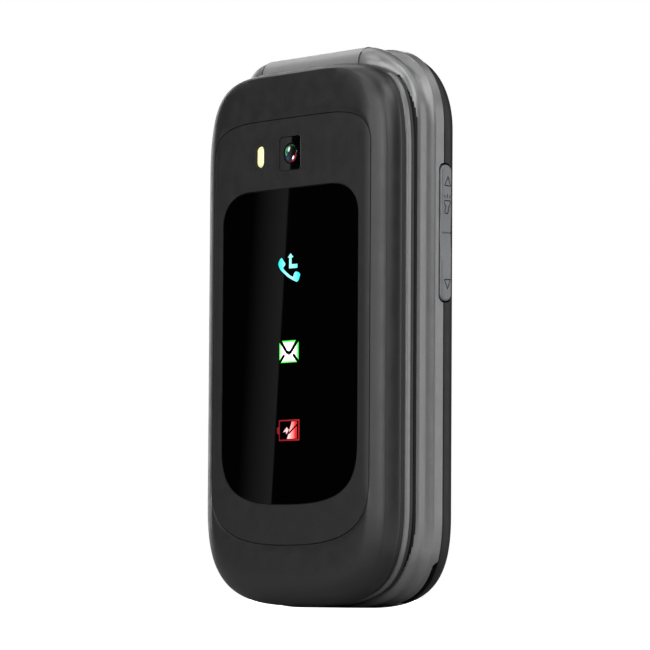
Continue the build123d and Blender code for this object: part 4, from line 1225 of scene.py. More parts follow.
@dataclass
class LidInnerSide:
    """The inner half of the lid: its rim, the hinge barrel and the face behind the keypad."""

    shell: LidShell
    inner: float = span("lid_screw_caps", Along.Y)[1]
    plate_front: float = span("lid_outer_cover", Along.Y)[1]
    plate_inset: float = 1.5
    plate_short: float = 6.0
    bead_start: float = 1.25
    bead_end: float = 2.33
    hinge_y: float = middle("hinge_cam_unit", Along.Y)
    hinge_z: float = middle("hinge_cam_unit", Along.Z)
    knuckle: float = 3.1
    relief: float = 3.45
    bore: float = 2.3
    barrel_half: float = 14.3
    barrel_edge: float = 0.25
    barrel_overlap: float = 0.2
    barrel_shine: float = 0.06
    barrel_shaded_end: float = 0.2
    relief_reach: float = 40.0
    fit: float = 0.1
    window_corner: float = 2.5
    window_edge: float = 0.1
    view_width: float = 40.6
    view_height: float = 54.2
    view_corner: float = 0.3
    view_sink: float = 0.02
    view_rise: float = 0.006
    hole_pitch: float = 0.52
    row_share: float = 0.86
    hole_radius: float = 0.15
    mesh_reach: float = 4.4
    row_taper: float = 0.3
    cap_radius: float = 1.7
    high_cap_x: float = 18.5
    bumper_radius: float = 1.5

    def rim(self) -> bpy.types.Object:
        """The housing with the step, the bead and the tucked edge round it.

        Returns:
            The housing.
        """
        outline = self.shell.outline
        room = replace(outline, high=outline.high - self.plate_short)
        bead = [(self.plate_inset, 0.0), (0.5, 0.0), (0.38, 0.05), (0.35, 0.15), (0.35, 1.22),
                (0.30, 1.29), (0.16, 1.31), (0.08, 1.37), (0.05, 1.5), (0.05, 2.1), (0.08, 2.22),
                (0.16, 2.29), (0.18, self.bead_end), (0.22, 2.38), (0.22, 2.5)]
        tuck = [(0.22, 0.2), (0.27, 0.08), (0.4, 0.0)]
        profile = [(inset, self.shell.seam + rise) for inset, rise in bead]
        profile += [(inset, self.inner - drop) for inset, drop in tuck]
        rings = stack(room.loop, [(self.plate_inset, self.plate_front),
                                  (self.plate_inset, self.shell.seam)])
        return loft(rings + stack(outline.loop, profile))

    def barrel(self) -> bpy.types.Object:
        """The hinge barrel, with its ends broken and its bore open.

        Returns:
            The barrel.
        """
        end, soft, steps = self.barrel_half, self.barrel_edge, 96
        profile = [(-end, self.bore), (-end, self.knuckle - soft), (-end + soft, self.knuckle),
                   (end - soft, self.knuckle), (end, self.knuckle - soft), (end, self.bore)]
        points = [(x, y, z) for x, radius in profile
                  for y, z in circle((self.hinge_y, self.hinge_z), radius, steps)]
        faces, rows = [], len(profile)
        for row in range(rows):
            for i in range(steps):
                j = (i + 1) % steps
                after = (row + 1) % rows
                faces.append((row * steps + i, after * steps + i, after * steps + j,
                              row * steps + j))
        return solid(points, faces)

    def window_loop(self, inset: float) -> list[Point2]:
        """The main display window's outline."""
        return node_loop("main_display_window", -inset, self.window_corner - inset)

    def is_dark(self, place: Vector, _normal: Vector) -> bool:
        """Whether a face belongs to the dark inner shell, not to the grey bead."""
        return not self.bead_start < place.y - self.shell.seam < self.bead_end

    def is_barrel(self, place: Vector, _normal: Vector) -> bool:
        """Whether a face belongs to the round of the hinge barrel, short of its ends, which keep
        the dark shell's colour as painted shade in the seams beside the knuckles.

        Args:
            place: The face's middle.
            _normal: Its normal, which doesn't matter here.

        Returns:
            Whether it does.
        """
        away = math.hypot(place.y - self.hinge_y, place.z - self.hinge_z)
        return (away < self.knuckle + self.barrel_shine
                and abs(place.x) < self.barrel_half - self.barrel_shaded_end)

    def recesses(self) -> list[bpy.types.Object]:
        """What is sunk into the inner face: the window, the earpiece, the caps and bumpers.

        Returns:
            The solids to cut with.
        """
        out, steps = self.inner + 0.5, 32
        found = [slab(loop, span(node, Along.Y)[0], out)
                 for node, loop in (("main_display_window", self.window_loop(-self.fit)),
                                    ("earpiece_mesh", node_loop("earpiece_mesh", self.fit)))]
        (_, cap_x), (low_cap, high_cap) = (span("lid_screw_caps", a) for a in (Along.X, Along.Z))
        caps = [(cap_x - self.cap_radius, low_cap + self.cap_radius),
                (self.high_cap_x, high_cap - self.cap_radius)]
        bumpers = [(span("lid_bumpers", Along.X)[1] - self.bumper_radius,
                    middle("lid_bumpers", Along.Z))]
        for node, places, size in (("lid_screw_caps", caps, self.cap_radius),
                                   ("lid_bumpers", bumpers, self.bumper_radius)):
            radius, front = size + self.fit / 2, span(node, Along.Y)[0]
            found += [turned([(radius, front), (radius, out)], side * x, z, steps)
                      for side in (-1, 1) for x, z in places]
        return found

    def display(self) -> None:
        """The main display's window with its view area."""
        back, front = span("main_display_window", Along.Y)
        window = pane(self.window_loop, front, back, self.window_edge)
        dress("main_display_pane", window, BLACK_PANE, "lid", ["main_display_window"])
        area = round_box(0, middle("main_display_window", Along.Z), self.view_width,
                         self.view_height, self.view_corner)
        dress("main_display_view", slab(area, front - self.view_sink, front + self.view_rise),
              CRYSTAL_PANEL, "lid")

    def earpiece(self) -> None:
        """Dark discs of painted shade where the holes of the earpiece mesh are, in staggered rows.
        """
        face = span("earpiece_mesh", Along.Y)[1]
        z = middle("earpiece_mesh", Along.Z)
        spots = [(self.hole_pitch * (column + row % 2 / 2), row) for row in range(-2, 3)
                 for column in range(-8, 9)]
        points = [(x, face, z + row * self.hole_pitch * self.row_share) for x, row in spots
                  if abs(x) < self.mesh_reach - abs(row) * self.row_taper]
        hole_shade = ScatterTree("hole_shade_discs", BLACK_PRINT_AND_PAINTED_SHADE).scatter(
            points, self.hole_radius, self.hole_radius, rise=0.012, sides=10)
        dress("earpiece_hole_shade_discs", hole_shade, BLACK_PRINT_AND_PAINTED_SHADE, "lid")

    def build(self) -> None:
        """Makes and dresses the housing, the main display's window and the earpiece."""
        housing = self.rim()
        centre = (self.hinge_y, self.hinge_z)
        for side in (-1, 1):
            combine(housing, along_x(circle(centre, self.relief), side * self.barrel_half,
                                     side * self.relief_reach))
        combine(housing, along_x(circle(centre, self.knuckle - self.barrel_overlap),
                                 -self.barrel_half, self.barrel_half))
        combine(housing, self.barrel(), Cut.ADD)
        combine(housing, joined(self.recesses()))
        dress("lid_inner_shell", housing, GREY_LACQUER, "lid", ["lid_inner_housing"])
        paint(housing, INNER_SHELL, self.is_dark)
        # The barrel's ends stay dark: painted shade in its seams.
        paint(housing, SILVER_LACQUER, self.is_barrel)
        self.display()
        self.earpiece()


# === the base =============================================================================
@dataclass
class BaseFront:
    """The base's front housing: bead, valley, crease, band and the two hinge shoulders."""

    lid_side: LidInnerSide
    outline: Outline = node_outline("base_front_housing", low_land=7.0, low_rise=17.0,
                                    low_full=0.74, high_land=12.4, high_rise=15.4,
                                    high_full=0.58, land_steps=6, turn_steps=40, side_steps=24)
    half: float = span("base_front_housing", Along.X)[1]
    length: float = span("base_front_housing", Along.Z)[1]
    face: float = -1.45
    seam: float = span("base_front_housing", Along.Y)[1]
    seam_edge: float = 0.12
    crease: float = 3.0
    top_crease: float = 3.09
    bead_inset: float = 0.7
    bead_round: float = 1.5
    shoulder_start: float = 14.5
    knuckle_fade: float = 6.1
    # How far back the painted shade under the lid's rim reaches, and how it fades out towards the
    # knuckle and the low end.
    painted_shade_until: float = -0.75
    painted_shade_fade: float = 9.0
    low_fade_start: float = 3.0
    low_fade: float = 12.0
    notch_width: float = 1.1
    notch_depth: float = 0.9
    notch_high: float = 8.9
    notch_start: float = 16.0
    keypad_plate: float = span("keypad_fascia", Along.Y)[1]
    fascia_fit: float = 0.08
    pocket_wall: float = 1.8
    pocket_land: float = 12.0
    keypad_back: float = 0.25
    cavity_high: float = 96.5
    scoop_radius: float = 4.55
    scoop_inset: float = -2.4
    scoop_y: float = -0.779
    scoop_first: Point2 = (4.16, 1.849)
    scoop_last: Point2 = (2.4, 3.869)
    knuckle_end: float = -64.4
    cut_before: float = 0.6
    cut_behind: float = 0.3
    key_flange: float = 0.5
    key_fit: float = 0.15
    key_corner: float = 1.3
    ring_overhang: float = 0.65
    ring_flange: float = 0.5
    ring_corner: float = 7.0
    rocker_y: float = middle("volume_rocker", Along.Y)
    rocker_z: float = middle("volume_rocker", Along.Z)
    rocker_width: float = 2.7
    rocker_length: float = 25.4
    rocker_corner: float = 1.0
    rocker_fit: float = 0.3
    socket_width: float = 2.8
    socket_length: float = 7.9
    socket_corner: float = 1.0
    sound_radius: float = 0.5
    room_depth: float = 6.0

    def side_section(self) -> list[Point2]:
        """The side's section, from the face to the seam.

        Returns:
            Inset and depth of each point, as many as the top section has.
        """
        flat_steps, bead_steps = 8, 12
        bead_middle = self.bead_inset + self.bead_round
        section = [(3.0, self.face)]
        section += [(blend(2.6, bead_middle, i / flat_steps), self.face) for i in range(flat_steps)]
        bead = quarter(self.bead_round, bead_steps)[:0:-1]
        section += [(self.bead_inset + inset, self.face + drop) for inset, drop in bead]
        section += bezier([(0.7, 0.05), (0.7, 0.6), (0.82, 0.9), (0.8, 1.3)], 6)
        section += bezier([(0.8, 1.3), (0.76, 2.1), (0.22, 2.56), (0.06, self.crease - 0.12)], 10)
        return section + self.band(self.crease)

    def band(self, start: float) -> list[Point2]:
        """The flat band behind the crease and the edge at the seam.

        Args:
            start: The crease's depth.

        Returns:
            Inset and depth of each point.
        """
        band = [(0.06, start - 0.12), (0.015, start - 0.03), (0.0, start + 0.06),
                (0.0, start + 0.25), (0.0, blend(start, self.seam, 0.5)), (0.0, self.seam - 0.25)]
        band += [(inset, self.seam - drop) for inset, drop in broken(self.seam_edge, 0.25)]
        return band + [(1.0, self.seam)]

    def top_section(self) -> list[Point2]:
        """The shoulder's section: round the knuckle, down the scoop to the crease.

        Returns:
            Inset and depth of each point.
        """
        radius, y = self.lid_side.knuckle, self.lid_side.hinge_y
        inset = self.length - self.lid_side.hinge_z

        def knuckle(turn: float) -> Point2:
            """A point of the knuckle, by its angle from the top, forwards."""
            angle = math.radians(turn)
            return inset - radius * math.cos(angle), y - radius * math.sin(angle)

        section = [(6.6, self.face)]
        for first, last, steps in ((180, 90, 8), (90, 0, 12), (0, self.knuckle_end, 6)):
            section += [knuckle(blend(first, last, i / steps)) for i in range(steps)]
        start, end = (math.degrees(math.atan2(*reversed(point)))
                      for point in (self.scoop_first, self.scoop_last))
        scoop = arc((self.scoop_inset, self.scoop_y), self.scoop_radius, start, end, 10)
        return section + scoop[:-1] + self.band(self.top_crease)

    def skin(self) -> bpy.types.Object:
        """The outside of the housing with the pocket behind the keypad.

        Returns:
            The housing, still without its openings.
        """
        sides, tops = self.side_section(), self.top_section()
        weights = [smoothstep((z - (self.length - self.knuckle_fade)) / self.knuckle_fade)
                   for _, z in self.outline.loop()]
        rings = []
        for (side_inset, side_y), (top_inset, top_y) in zip(sides, tops):
            low_inset = max(side_inset - self.bead_inset, 0.0)
            side_loop = self.outline.loop(side_inset, low_inset)
            top_loop = self.outline.loop(top_inset, low_inset)
            rings.append([(blend(a[0], b[0], w), blend(side_y, top_y, w), blend(a[1], b[1], w))
                          for a, b, w in zip(side_loop, top_loop, weights)])
        pocket = replace(self.outline, high=self.cavity_high, high_land=self.pocket_land)
        rings += stack(pocket.loop, [(self.pocket_wall, self.seam),
                                     (self.pocket_wall, self.keypad_back)])
        return loft(rings)

    def openings(self) -> list[bpy.types.Object]:
        """What goes through the housing: keys, the microphone's sound, rocker and socket.

        Returns:
            The solids to cut with.
        """
        found = []
        start, end = self.keypad_plate - self.cut_before, self.keypad_back + self.cut_behind
        for node in (*PUSH_KEYS, "navigation_rocker"):
            ring = node == "navigation_rocker"
            shrink = self.ring_overhang if ring else self.key_flange
            rise = self.ring_flange if ring else self.key_flange
            corner = self.ring_corner if ring else self.key_corner
            loop = node_loop(node, self.key_fit - shrink, corner + self.key_fit,
                             self.key_fit - rise)
            found.append(slab(loop, start, end))
        found.append(turned([(self.sound_radius, start), (self.sound_radius, end)],
                            middle("microphone", Along.X), middle("microphone", Along.Z), 24))
        found.append(self.rocker_room())
        y, z = middle("charging_socket", Along.Y), middle("charging_socket", Along.Z)
        socket = round_box(y, z, self.socket_width, self.socket_length, self.socket_corner)
        found.append(along_x(socket, -self.half - 1, -self.half + self.room_depth))
        return found

    def rocker_room(self) -> bpy.types.Object:
        """The opening for the volume rocker.

        Returns:
            The solid to cut with.
        """
        loop = round_box(self.rocker_y, self.rocker_z, self.rocker_width + 2 * self.rocker_fit,
                         self.rocker_length + 2 * self.rocker_fit,
                         self.rocker_corner + self.rocker_fit)
        return along_x(loop, self.half - self.room_depth, self.half + 1)

    def is_dark(self, place: Vector, normal: Vector) -> bool:
        """Whether a face is dark: the face round the keys and the inside, with painted shade over
        the bead in the gap under the lid and on the walls of the rocker's room.

        Args:
            place: The face's middle.
            normal: Its normal.

        Returns:
            Whether it is dark.
        """
        # The dark reaches over the bead's front as painted shade in the gap under the lid,
        # narrowing to nothing towards the knuckle and the low end.
        fade = (smoothstep((self.length - self.knuckle_fade - place.z) / self.painted_shade_fade)
                * smoothstep((place.z - self.low_fade_start) / self.low_fade))
        until = blend(self.face - 0.1, self.painted_shade_until, fade)
        # The walls of the rocker's room get painted shade round the key.
        reach = self.rocker_fit + 0.02
        in_room = (abs(place.y - self.rocker_y) < self.rocker_width / 2 + reach
                   and abs(place.z - self.rocker_z) < self.rocker_length / 2 + reach
                   and place.x > self.half - self.room_depth - 1 and abs(normal.x) < 0.5)
        return (fade > 0 and place.y < until and normal.y < -0.5 or in_room
                or place.y > self.seam - 0.01)

    def nail_notch(self) -> bpy.types.Object:
        """The slot along the low right edge where a nail lifts the back.

        Returns:
            The solid to cut with.
        """
        start, end = self.seam - self.notch_width, self.seam + 0.2
        notch = slab(self.outline.loop(-1.0), start, end)
        combine(notch, slab(self.outline.loop(self.notch_depth), start - 1, end + 1))
        reach = [(start - 0.5, -2.0), (start - 0.5, self.notch_high - 1.3),
                 (start, self.notch_high - 1.0), (end, self.notch_high), (end, -2.0)]
        return combine(notch, along_x(reach, self.notch_start, self.half + 2), Cut.KEEP)

    def build(self) -> None:
        """Makes, cuts and dresses the housing."""
        housing = self.skin()
        centre = (self.lid_side.hinge_y, self.lid_side.hinge_z)
        combine(housing, along_x(circle(centre, self.lid_side.relief),
                                 -self.shoulder_start, self.shoulder_start))
        fascia = node_outline("keypad_fascia", low_land=5.0, low_rise=15.0, low_full=0.72,
                              high_land=12.0, high_rise=12.0, high_full=0.60)
        combine(housing, slab(fascia.loop(-self.fascia_fit), self.face - 1, self.keypad_plate))
        combine(housing, joined(self.openings()))
        combine(housing, self.nail_notch())
        dress("base_front_shell", housing, GREY_LACQUER, "base", ["base_front_housing"])
        # Dark key bed, with painted shade in the gap under the lid and round the rocker.
        paint(housing, KEY_BED_AND_PAINTED_SHADE, self.is_dark)


@dataclass
class RearCover:
    """The lift-off back cover."""

    base: BaseFront
    start: float = span("rear_cover", Along.Y)[0]
    rear: float = span("rear_cover", Along.Y)[1]
    high: float = span("rear_cover", Along.Z)[1]
    seam_edge: float = 0.12
    edge_round: float = 4.1
    round_steps: int = 16
    wall: float = 1.0
    grille_x: float = middle("loudspeaker", Along.X)
    grille_z: float = middle("loudspeaker", Along.Z)
    slot_pitch: float = 1.8
    slot_length: float = 7.0
    slot_width: float = 0.8

    def build(self) -> None:
        """Makes and dresses the cover."""
        outline = replace(self.base.outline, high=self.high)
        skin = [(inset, self.start + drop) for inset, drop in broken(self.seam_edge, 0.25)[::-1]]
        skin += [(inset, self.rear - drop)
                 for inset, drop in quarter(self.edge_round, self.round_steps)]
        room = [(self.wall, self.start - 1)]
        room += [(self.wall + inset, self.rear - self.wall - drop)
                 for inset, drop in quarter(self.edge_round - self.wall, self.round_steps)]
        outside = loft(stack(outline.loop, skin))
        combine(outside, loft(stack(outline.loop, room)))
        slots = [slab(round_box(self.grille_x, self.grille_z + row * self.slot_pitch,
                                self.slot_length, self.slot_width),
                      self.rear - 2 * self.wall, self.rear + self.wall) for row in range(-2, 3)]
        combine(outside, self.base.rocker_room())
        combine(outside, joined(slots))
        dress("rear_cover_shell", outside, BACK_LACQUER, "rear_cover", ["rear_cover"])


@dataclass
class VolumeRocker:
    """The one-piece volume key, with its waist, its middle groove and its engraved signs."""

    base: BaseFront
    front: float = span("volume_rocker", Along.X)[1]
    root: float = 3.4
    edge: float = 0.4
    end_flat: float = 0.06
    least_corner: float = 0.3
    waist_radius: float = 30.0
    waist: float = 0.42
    groove: float = 0.17
    groove_reach: float = 0.85
    line: float = 0.2
    sign_depth: float = 0.16
    mark_depth: float = 0.05
    mark_step: float = 0.002

    def body(self) -> bpy.types.Object:
        """The key with its round front edge, waist and groove.

        Returns:
            The key.
        """
        y, z = self.base.rocker_y, self.base.rocker_z
        width, length = self.base.rocker_width, self.base.rocker_length
        rings = []
        profile = [(inset, self.front - drop) for inset, drop in quarter(self.edge, 7)]
        for inset, x in [(0.0, self.front - self.root), *profile]:
            corner = max(width / 2 - inset - self.end_flat, self.least_corner)
            rings.append([(x, py, pz) for py, pz in
                          round_box(y, z, width - 2 * inset, length - 2 * inset, corner, 10)])
        key = loft(rings)
        waist_x = self.front + self.waist_radius - self.waist
        for x, radius, start, steps in (
                (waist_x, self.waist_radius, y - width, 360),
                (self.front - self.waist, self.groove, y - self.groove_reach, 20)):
            combine(key, turned([(radius, start), (radius, y + width)], x, z, steps))
        return key

    def signs(self) -> list[tuple[Point2, Point2]]:
        """The strokes of the signs.

        Returns:
            The two ends of each, in Y and Z.
        """
        y, z = self.base.rocker_y, self.base.rocker_z
        up, torch, down = 9.6, 5.2, -9.6
        strokes = [((0.3, up + 0.85), (-0.5, up - 0.8)), ((-0.5, up - 0.8), (0.95, up - 0.9)),
                   ((0.95, up - 0.9), (0.3, up + 0.85)),
                   ((-0.5, down + 0.85), (0.3, down - 0.85)),
                   ((-0.5, down + 0.85), (0.95, down + 0.9)),
                   ((0.3, down - 0.85), (0.95, down + 0.9)),
                   ((-0.6, torch + 1.75), (-0.35, torch + 1.3)),
                   ((0.15, torch + 1.9), (0.17, torch + 1.35)),
                   ((0.9, torch + 1.75), (0.65, torch + 1.3))]
        outline = [(-0.5, torch + 0.75), (-0.5, torch + 0.1), (-0.2, torch - 0.3),
                   (-0.35, torch - 1.1), (-0.2, torch - 1.6), (0.45, torch - 1.6),
                   (0.55, torch - 0.3), (0.85, torch + 0.1), (0.85, torch + 0.75),
                   (-0.5, torch + 0.75)]
        strokes += zip(outline, outline[1:])
        return [((y + a, z + b), (y + c, z + d)) for (a, b), (c, d) in strokes]

    def build(self) -> None:
        """Makes, engraves and dresses the key, with dark strokes of painted shade on the floors of
        its engraved signs.
        """
        key, marks = self.body(), []
        for row, (start, end) in enumerate(self.signs()):
            loop = stroke(start, end, self.line)
            dip = self.waist * (1 - ((start[1] + end[1]) / 2 - self.base.rocker_z) ** 2
                                / (2 * self.waist_radius * self.waist))
            face = self.front - max(dip, 0.0)
            combine(key, along_x(loop, face - self.sign_depth, face + 1))
            # Dark strokes at the groove floors: painted shade in the engraved signs.
            floor = face - self.sign_depth - self.mark_step * row
            marks.append(along_x(loop, floor - self.mark_depth, floor + self.mark_depth))
        shade(key.data, FACET_ANGLE)
        dress("volume_key", key, ROCKER_PLASTIC, "volume_rocker", ["volume_rocker"])
        dress("volume_key_sign_shade", joined(marks), BLACK_PRINT_AND_PAINTED_SHADE, "volume_rocker")


@dataclass
class Keypad:
    """The fascia, the keys with their plain signs, and the navigation keys."""

    face: float = span("key_1", Along.Y)[0]
    ink: float = 0.02
    ink_depth: float = 0.05
    digit_size: float = 4.6

    def sign(self, name: str, loops: Sequence[Sequence[Point2]], node: str, ink: Finish) -> None:
        """Printed shapes in the middle of a key.

        Args:
            name: The piece's name.
            loops: Each shape's outline, from the key's middle.
            node: The key's node.
            ink: What they are printed with.
        """
        at, front = (middle(node, Along.X), middle(node, Along.Z)), self.face - self.ink
        dress(name, plates(loops, at, front, front + self.ink_depth), ink, node)

    def digits(self) -> None:
        """Plain digits, a star and a hash."""
        signs = {f"key_{digit}": str(digit) for digit in range(10)}
        signs.update({"key_star": "*", "key_hash": "#"})
        for node, text in signs.items():
            mark = lettering(text, self.digit_size, middle(node, Along.X),
                             middle(node, Along.Z), self.face - self.ink)
            dress(f"{node}_sign", mark, KEY_INK, node)

    def receiver(self, tilt: float) -> list[Point2]:
        """A small handset.

        Args:
            tilt: The angle that it is turned by, in degrees.

        Returns:
            Its outline.
        """
        turn = math.radians(tilt)
        points = [(-3.0, -0.1), (-2.9, -1.1), (-1.7, -1.2), (-1.4, -0.4), (0.0, -0.15),
                  (1.4, -0.4), (1.7, -1.2), (2.9, -1.1), (3.0, -0.1), (1.6, 0.75), (0.0, 0.95),
                  (-1.6, 0.75)]
        return [(x * math.cos(turn) - z * math.sin(turn), x * math.sin(turn) + z * math.cos(turn))
                for x, z in smooth_loop(points, 3)]

    def build(self) -> None:
        """Makes and dresses the keypad."""
        for node in (*PUSH_KEYS, "navigation_rocker"):
            finish_node(node, KEY_CAP)
        finish_node("select_key", ANODISED_SHEET)
        finish_node("keypad_fascia", ANODISED_SHEET)
        self.digits()
        self.sign("key_call_sign", [self.receiver(128)], "key_call", CALL_INK)
        self.sign("key_end_sign", [self.receiver(0)], "key_end", END_INK)
        dash = [stroke((-2.2, 0), (2.2, 0), 0.7)]
        self.sign("key_soft_left_sign", dash, "key_soft_left", KEY_INK)
        self.sign("key_soft_right_sign", dash, "key_soft_right", KEY_INK)
        arrows = [[(-1.3, side * 7.6), (1.3, side * 7.6), (0, side * 9.0)] for side in (-1, 1)]
        self.sign("navigation_signs", arrows, "navigation_rocker", KEY_INK)


@dataclass
class Insides:
    """Everything between the shells, seen when the back is off or the phone is open."""

    chip_seed: int = 11
    columns: int = 7
    rows: int = 5
    field: Point2 = (24.0, 12.0)
    dome_lift: float = 0.023

    def finishes(self) -> dict[Finish, tuple[str, ...]]:
        """The nodes that keep their CAD shape.

        Returns:
            The nodes, by their finish.
        """
        return {
            BLACK_PRINT_AND_PAINTED_SHADE: ("icon_mask_film",),
            DIFFUSER: ("icon_light_guides",),
            SOLDER_MASK: ("lid_circuit_board", "main_circuit_board"),
            BARREL_BLACK: ("camera_module",),
            CRYSTAL_PANEL: ("main_display_module",),
            CHIP_EPOXY: ("earpiece_receiver", "microphone", "loudspeaker"),
            PLATED_STEEL: ("earpiece_mesh", "lid_screws", "base_screws", "shield_cans",
                           "hinge_cam_unit", "hinge_cam_head", "hinge_trunnion", "rocker_pin",
                           "lid_magnet", "vibration_motor", "sim_card_holder",
                           "charging_socket"),
            SILICONE: ("lid_bumpers", "lid_screw_caps"),
            FRAME_NYLON: ("base_rear_housing", "rocker_bracket", "antenna_carrier",
                          "volume_switches"),
            POLYIMIDE: ("display_flex",),
            GOLD_FLASH: ("battery_contacts",),
            BATTERY_SLEEVE: ("battery",),
            DOME_FILM: ("key_dome_sheet",),
        }

    def board_parts(self) -> None:
        """Small moulded parts in rows on the back of the lid's circuit board."""
        board = "lid_circuit_board"
        x, back, z = middle(board, Along.X), span(board, Along.Y)[1], middle(board, Along.Z)
        wide, high = self.field
        points = [(x + blend(-wide, wide, column / (self.columns - 1)) / 2, back,
                   z + blend(-high, high, row / (self.rows - 1)) / 2)
                  for row in range(self.rows) for column in range(self.columns)]
        parts = ScatterTree("lid_board_parts_tree", CHIP_EPOXY).scatter(
            points, radius=0.6, foot=0.6, rise=0.3, sides=4, spread=0.5, seed=self.chip_seed)
        dress("lid_board_parts", parts, CHIP_EPOXY, "lid")

    def domes(self) -> None:
        """The sprung steel domes under the keys."""
        face = span("key_dome_sheet", Along.Y)[0]
        points = [(middle(node, Along.X), face + self.dome_lift, middle(node, Along.Z))
                  for node in PUSH_KEYS]
        domes = ScatterTree("domes", PLATED_STEEL).scatter(points, radius=0.9, foot=1.7,
                                                           rise=0.05, sides=28)
        dress("snap_domes", domes, PLATED_STEEL, "base")

    def build(self) -> None:
        """Dresses the nodes and adds the small parts."""
        for finish, nodes in self.finishes().items():
            for node in nodes:
                finish_node(node, finish)
        self.domes()
        self.board_parts()


# === the stage ============================================================================
# Name, azimuth and elevation in degrees, distance, width and height in millimetres, watts.
LAMPS = (
    ("rim_left", -130, 8, 560, 160, 420, 0.8),
    ("side_left", -100, 8, 560, 200, 420, 0.51),
    ("front_left", -20, 12, 620, 160, 420, 0.6),
    ("front", 0, 12, 620, 180, 420, 0.55),
    ("front_right", 20, 12, 620, 180, 420, 1.1),
    ("by_the_camera", 50, 25, 620, 260, 300, 0.81),
    ("back_right", 130, 10, 640, 200, 420, 0.47),
    ("back", 155, 10, 640, 200, 420, 0.49),
    ("top", 10, 85, 560, 420, 320, 0.53),
    ("top_front", -20, 50, 600, 380, 260, 0.65),
    ("top_right", 80, 50, 600, 380, 260, 1.15),
    ("top_back", 150, 50, 600, 380, 260, 0.42),
    ("top_left", -100, 50, 600, 380, 260, 0.47),
)


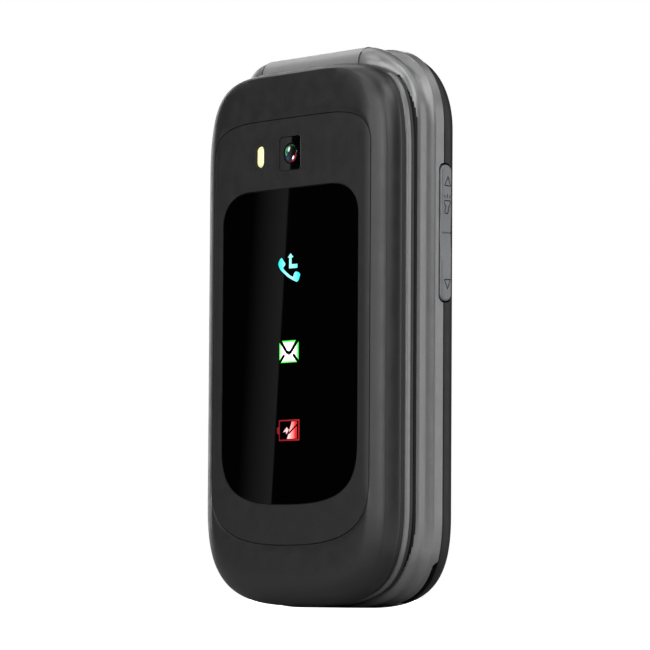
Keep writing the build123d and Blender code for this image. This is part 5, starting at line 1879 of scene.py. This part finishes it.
@dataclass
class Stage:
    """The floor, the light and the camera."""

    turn: float = 49.78
    distance: float = 738.8
    camera_height: float = 3.3
    aim_height: float = 53.47
    aim_side: float = -0.45
    roll: float = 0.36
    focal: float = 216.2
    sensor: float = 36.0
    room_light: float = 0.004
    floor_reach: float = 3000.0
    floor_sink: float = 0.01
    card_glow: float = 0.17
    card_tilt: float = -2.74
    low_card_at: Point3 = (170.0, 60.0, 2.0)

    def camera(self) -> None:
        """The camera, level with the lower end of the phone and well away from it."""
        turn, roll = math.radians(self.turn), math.radians(self.roll)
        lateral = Vector((math.cos(turn), math.sin(turn), 0))
        eye = Vector((self.distance * math.sin(turn), -self.distance * math.cos(turn),
                      self.camera_height))
        aim = lateral * self.aim_side + Vector((0, 0, self.aim_height))
        forward = (aim - eye).normalized()
        right = forward.cross(Vector((0, 0, 1))).normalized()
        up = right.cross(forward)
        tilted_right = right * math.cos(roll) + up * math.sin(roll)
        tilted_up = up * math.cos(roll) - right * math.sin(roll)
        data = bpy.data.cameras.new("camera")
        data.lens = self.focal
        data.sensor_width = self.sensor
        data.clip_start = 0.01
        camera = place("camera", data)
        facing = Matrix((tilted_right, tilted_up, -forward)).transposed()
        camera.matrix_world = Matrix.Translation(eye * MM) @ facing.to_4x4()
        bpy.context.scene.camera = camera

    def softbox(self, name: str, azimuth: float, elevation: float, distance: float,
                width: float, height: float, power: float) -> bpy.types.Object:
        """A rectangular soft light that faces the phone.

        Args:
            name: Its name.
            azimuth: Its side, in degrees: 0 in front of the lid, 90 on the rocker's side.
            elevation: Its height over the horizon, in degrees.
            distance: How far from the phone's middle it is, in millimetres.
            width: Its width in millimetres.
            height: Its height in millimetres.
            power: Its power in watts.

        Returns:
            The light.
        """
        side, rise = math.radians(azimuth), math.radians(elevation)
        away = Vector((math.cos(rise) * math.sin(side), -math.cos(rise) * math.cos(side),
                       math.sin(rise)))
        data = bpy.data.lights.new(name, "AREA")
        data.shape = "RECTANGLE"
        data.size = width * MM
        data.size_y = height * MM
        data.energy = power
        lamp = place(name, data)
        there = Matrix.Translation((away * distance + Vector((0, 0, self.aim_height))) * MM)
        lamp.matrix_world = there @ away.to_track_quat("Z", "Y").to_matrix().to_4x4()
        return lamp

    def card(self) -> None:
        """A dim card on the left that the panes mirror, brightest at its right edge."""
        lamp = self.softbox("card", azimuth=-51.14, elevation=3.96, distance=600, width=26,
                            height=190, power=1.0)
        lamp.data.energy = self.card_glow * math.pi * lamp.data.size * lamp.data.size_y
        lamp.matrix_world @= Matrix.Rotation(math.radians(self.card_tilt), 4, "Z")
        lamp.data.use_nodes = True
        tree = lamp.data.node_tree
        tree.nodes.clear()
        where = add_node(tree, "ShaderNodeNewGeometry").outputs["Parametric"]
        across = add_node(tree, "ShaderNodeSeparateXYZ", None, {"Vector": where}).outputs[0]
        fade = add_node(tree, "ShaderNodeMapRange",
                        {"From Min": 0.55, "To Min": 0.0, "To Max": 1.3}, {"Value": across})
        glow = add_node(tree, "ShaderNodeEmission", None, {"Strength": fade.outputs["Result"]})
        add_node(tree, "ShaderNodeOutputLight", None, {"Surface": glow.outputs["Emission"]})

    def low_card(self) -> None:
        """A soft white card that lies on the floor behind the rocker's side."""
        lamp = self.softbox("low_card", azimuth=0, elevation=0, distance=0, width=260, height=260,
                            power=0.09)
        lamp.matrix_world = (Matrix.Translation(Vector(self.low_card_at) * MM)
                             @ Matrix.Rotation(math.pi, 4, "X"))
        lamp.visible_camera = False

    def end_tree(self, tree: bpy.types.NodeTree, output: str, seen: bpy.types.Node,
                 other: bpy.types.Node) -> None:
        """Ends a tree with one shader for the camera and another for light and reflections.

        Args:
            tree: The tree.
            output: The type of its output node.
            seen: The shader that the camera sees.
            other: The shader for everything else.
        """
        camera = add_node(tree, "ShaderNodeLightPath").outputs["Is Camera Ray"]
        both = add_node(tree, "ShaderNodeMixShader", None,
                        {0: camera, 1: other.outputs[0], 2: seen.outputs[0]})
        add_node(tree, output, None, {"Surface": both.outputs[0]})

    def world(self) -> None:
        """White behind everything, and a dim room for light and reflections."""
        world = bpy.data.worlds.new("room")
        world.use_nodes = True
        tree = world.node_tree
        tree.nodes.clear()
        room, white = (add_node(tree, "ShaderNodeBackground", {"Color": (1, 1, 1, 1),
                                                               "Strength": strength})
                       for strength in (self.room_light, 1.0))
        self.end_tree(tree, "ShaderNodeOutputWorld", white, room)
        bpy.context.scene.world = world

    def floor(self) -> None:
        """A plain floor under the phone: white paper to the camera, and grey to the light."""
        reach = self.floor_reach * MM
        mesh = bpy.data.meshes.new("floor")
        mesh.from_pydata([(x * reach, y * reach, -self.floor_sink * MM)
                          for x, y in ((-1, -1), (1, -1), (1, 1), (-1, 1))], [], [(0, 1, 2, 3)])
        floor = place("floor", mesh)
        made = bpy.data.materials.new("pale_floor")
        made.use_nodes = True
        tree = made.node_tree
        tree.nodes.clear()
        paper = add_node(tree, "ShaderNodeBsdfPrincipled", {"Base Color": linear("f4f4f4"),
                                                            "Roughness": 1.0,
                                                            "Specular IOR Level": 0.0,
                                                            "Emission Color": (1, 1, 1, 1),
                                                            "Emission Strength": 1.0})
        dim = add_node(tree, "ShaderNodeBsdfPrincipled", {"Base Color": linear("929292"),
                                                          "Roughness": 0.9})
        self.end_tree(tree, "ShaderNodeOutputMaterial", paper, dim)
        mesh.materials.append(made)

    def build(self) -> None:
        """Sets everything up."""
        self.camera()
        self.world()
        self.floor()
        for lamp in LAMPS:
            self.softbox(*lamp)
        self.card()
        self.low_card()
        bpy.context.scene.view_settings.view_transform = "Standard"


def main() -> None:
    """Builds the stage and every sub-assembly in order."""
    logging.basicConfig(level=logging.INFO, format="%(name)s: %(message)s")
    Stage().build()
    shell = LidShell()
    shell.build()
    OuterWindows(shell).build()
    Pictograms(shell.front + OuterWindows(shell).sink).build()
    inner_side = LidInnerSide(shell)
    inner_side.build()
    base = BaseFront(inner_side)
    base.build()
    RearCover(base).build()
    VolumeRocker(base).build()
    Keypad().build()
    Insides().build()


if __name__ == "__main__":
    main()
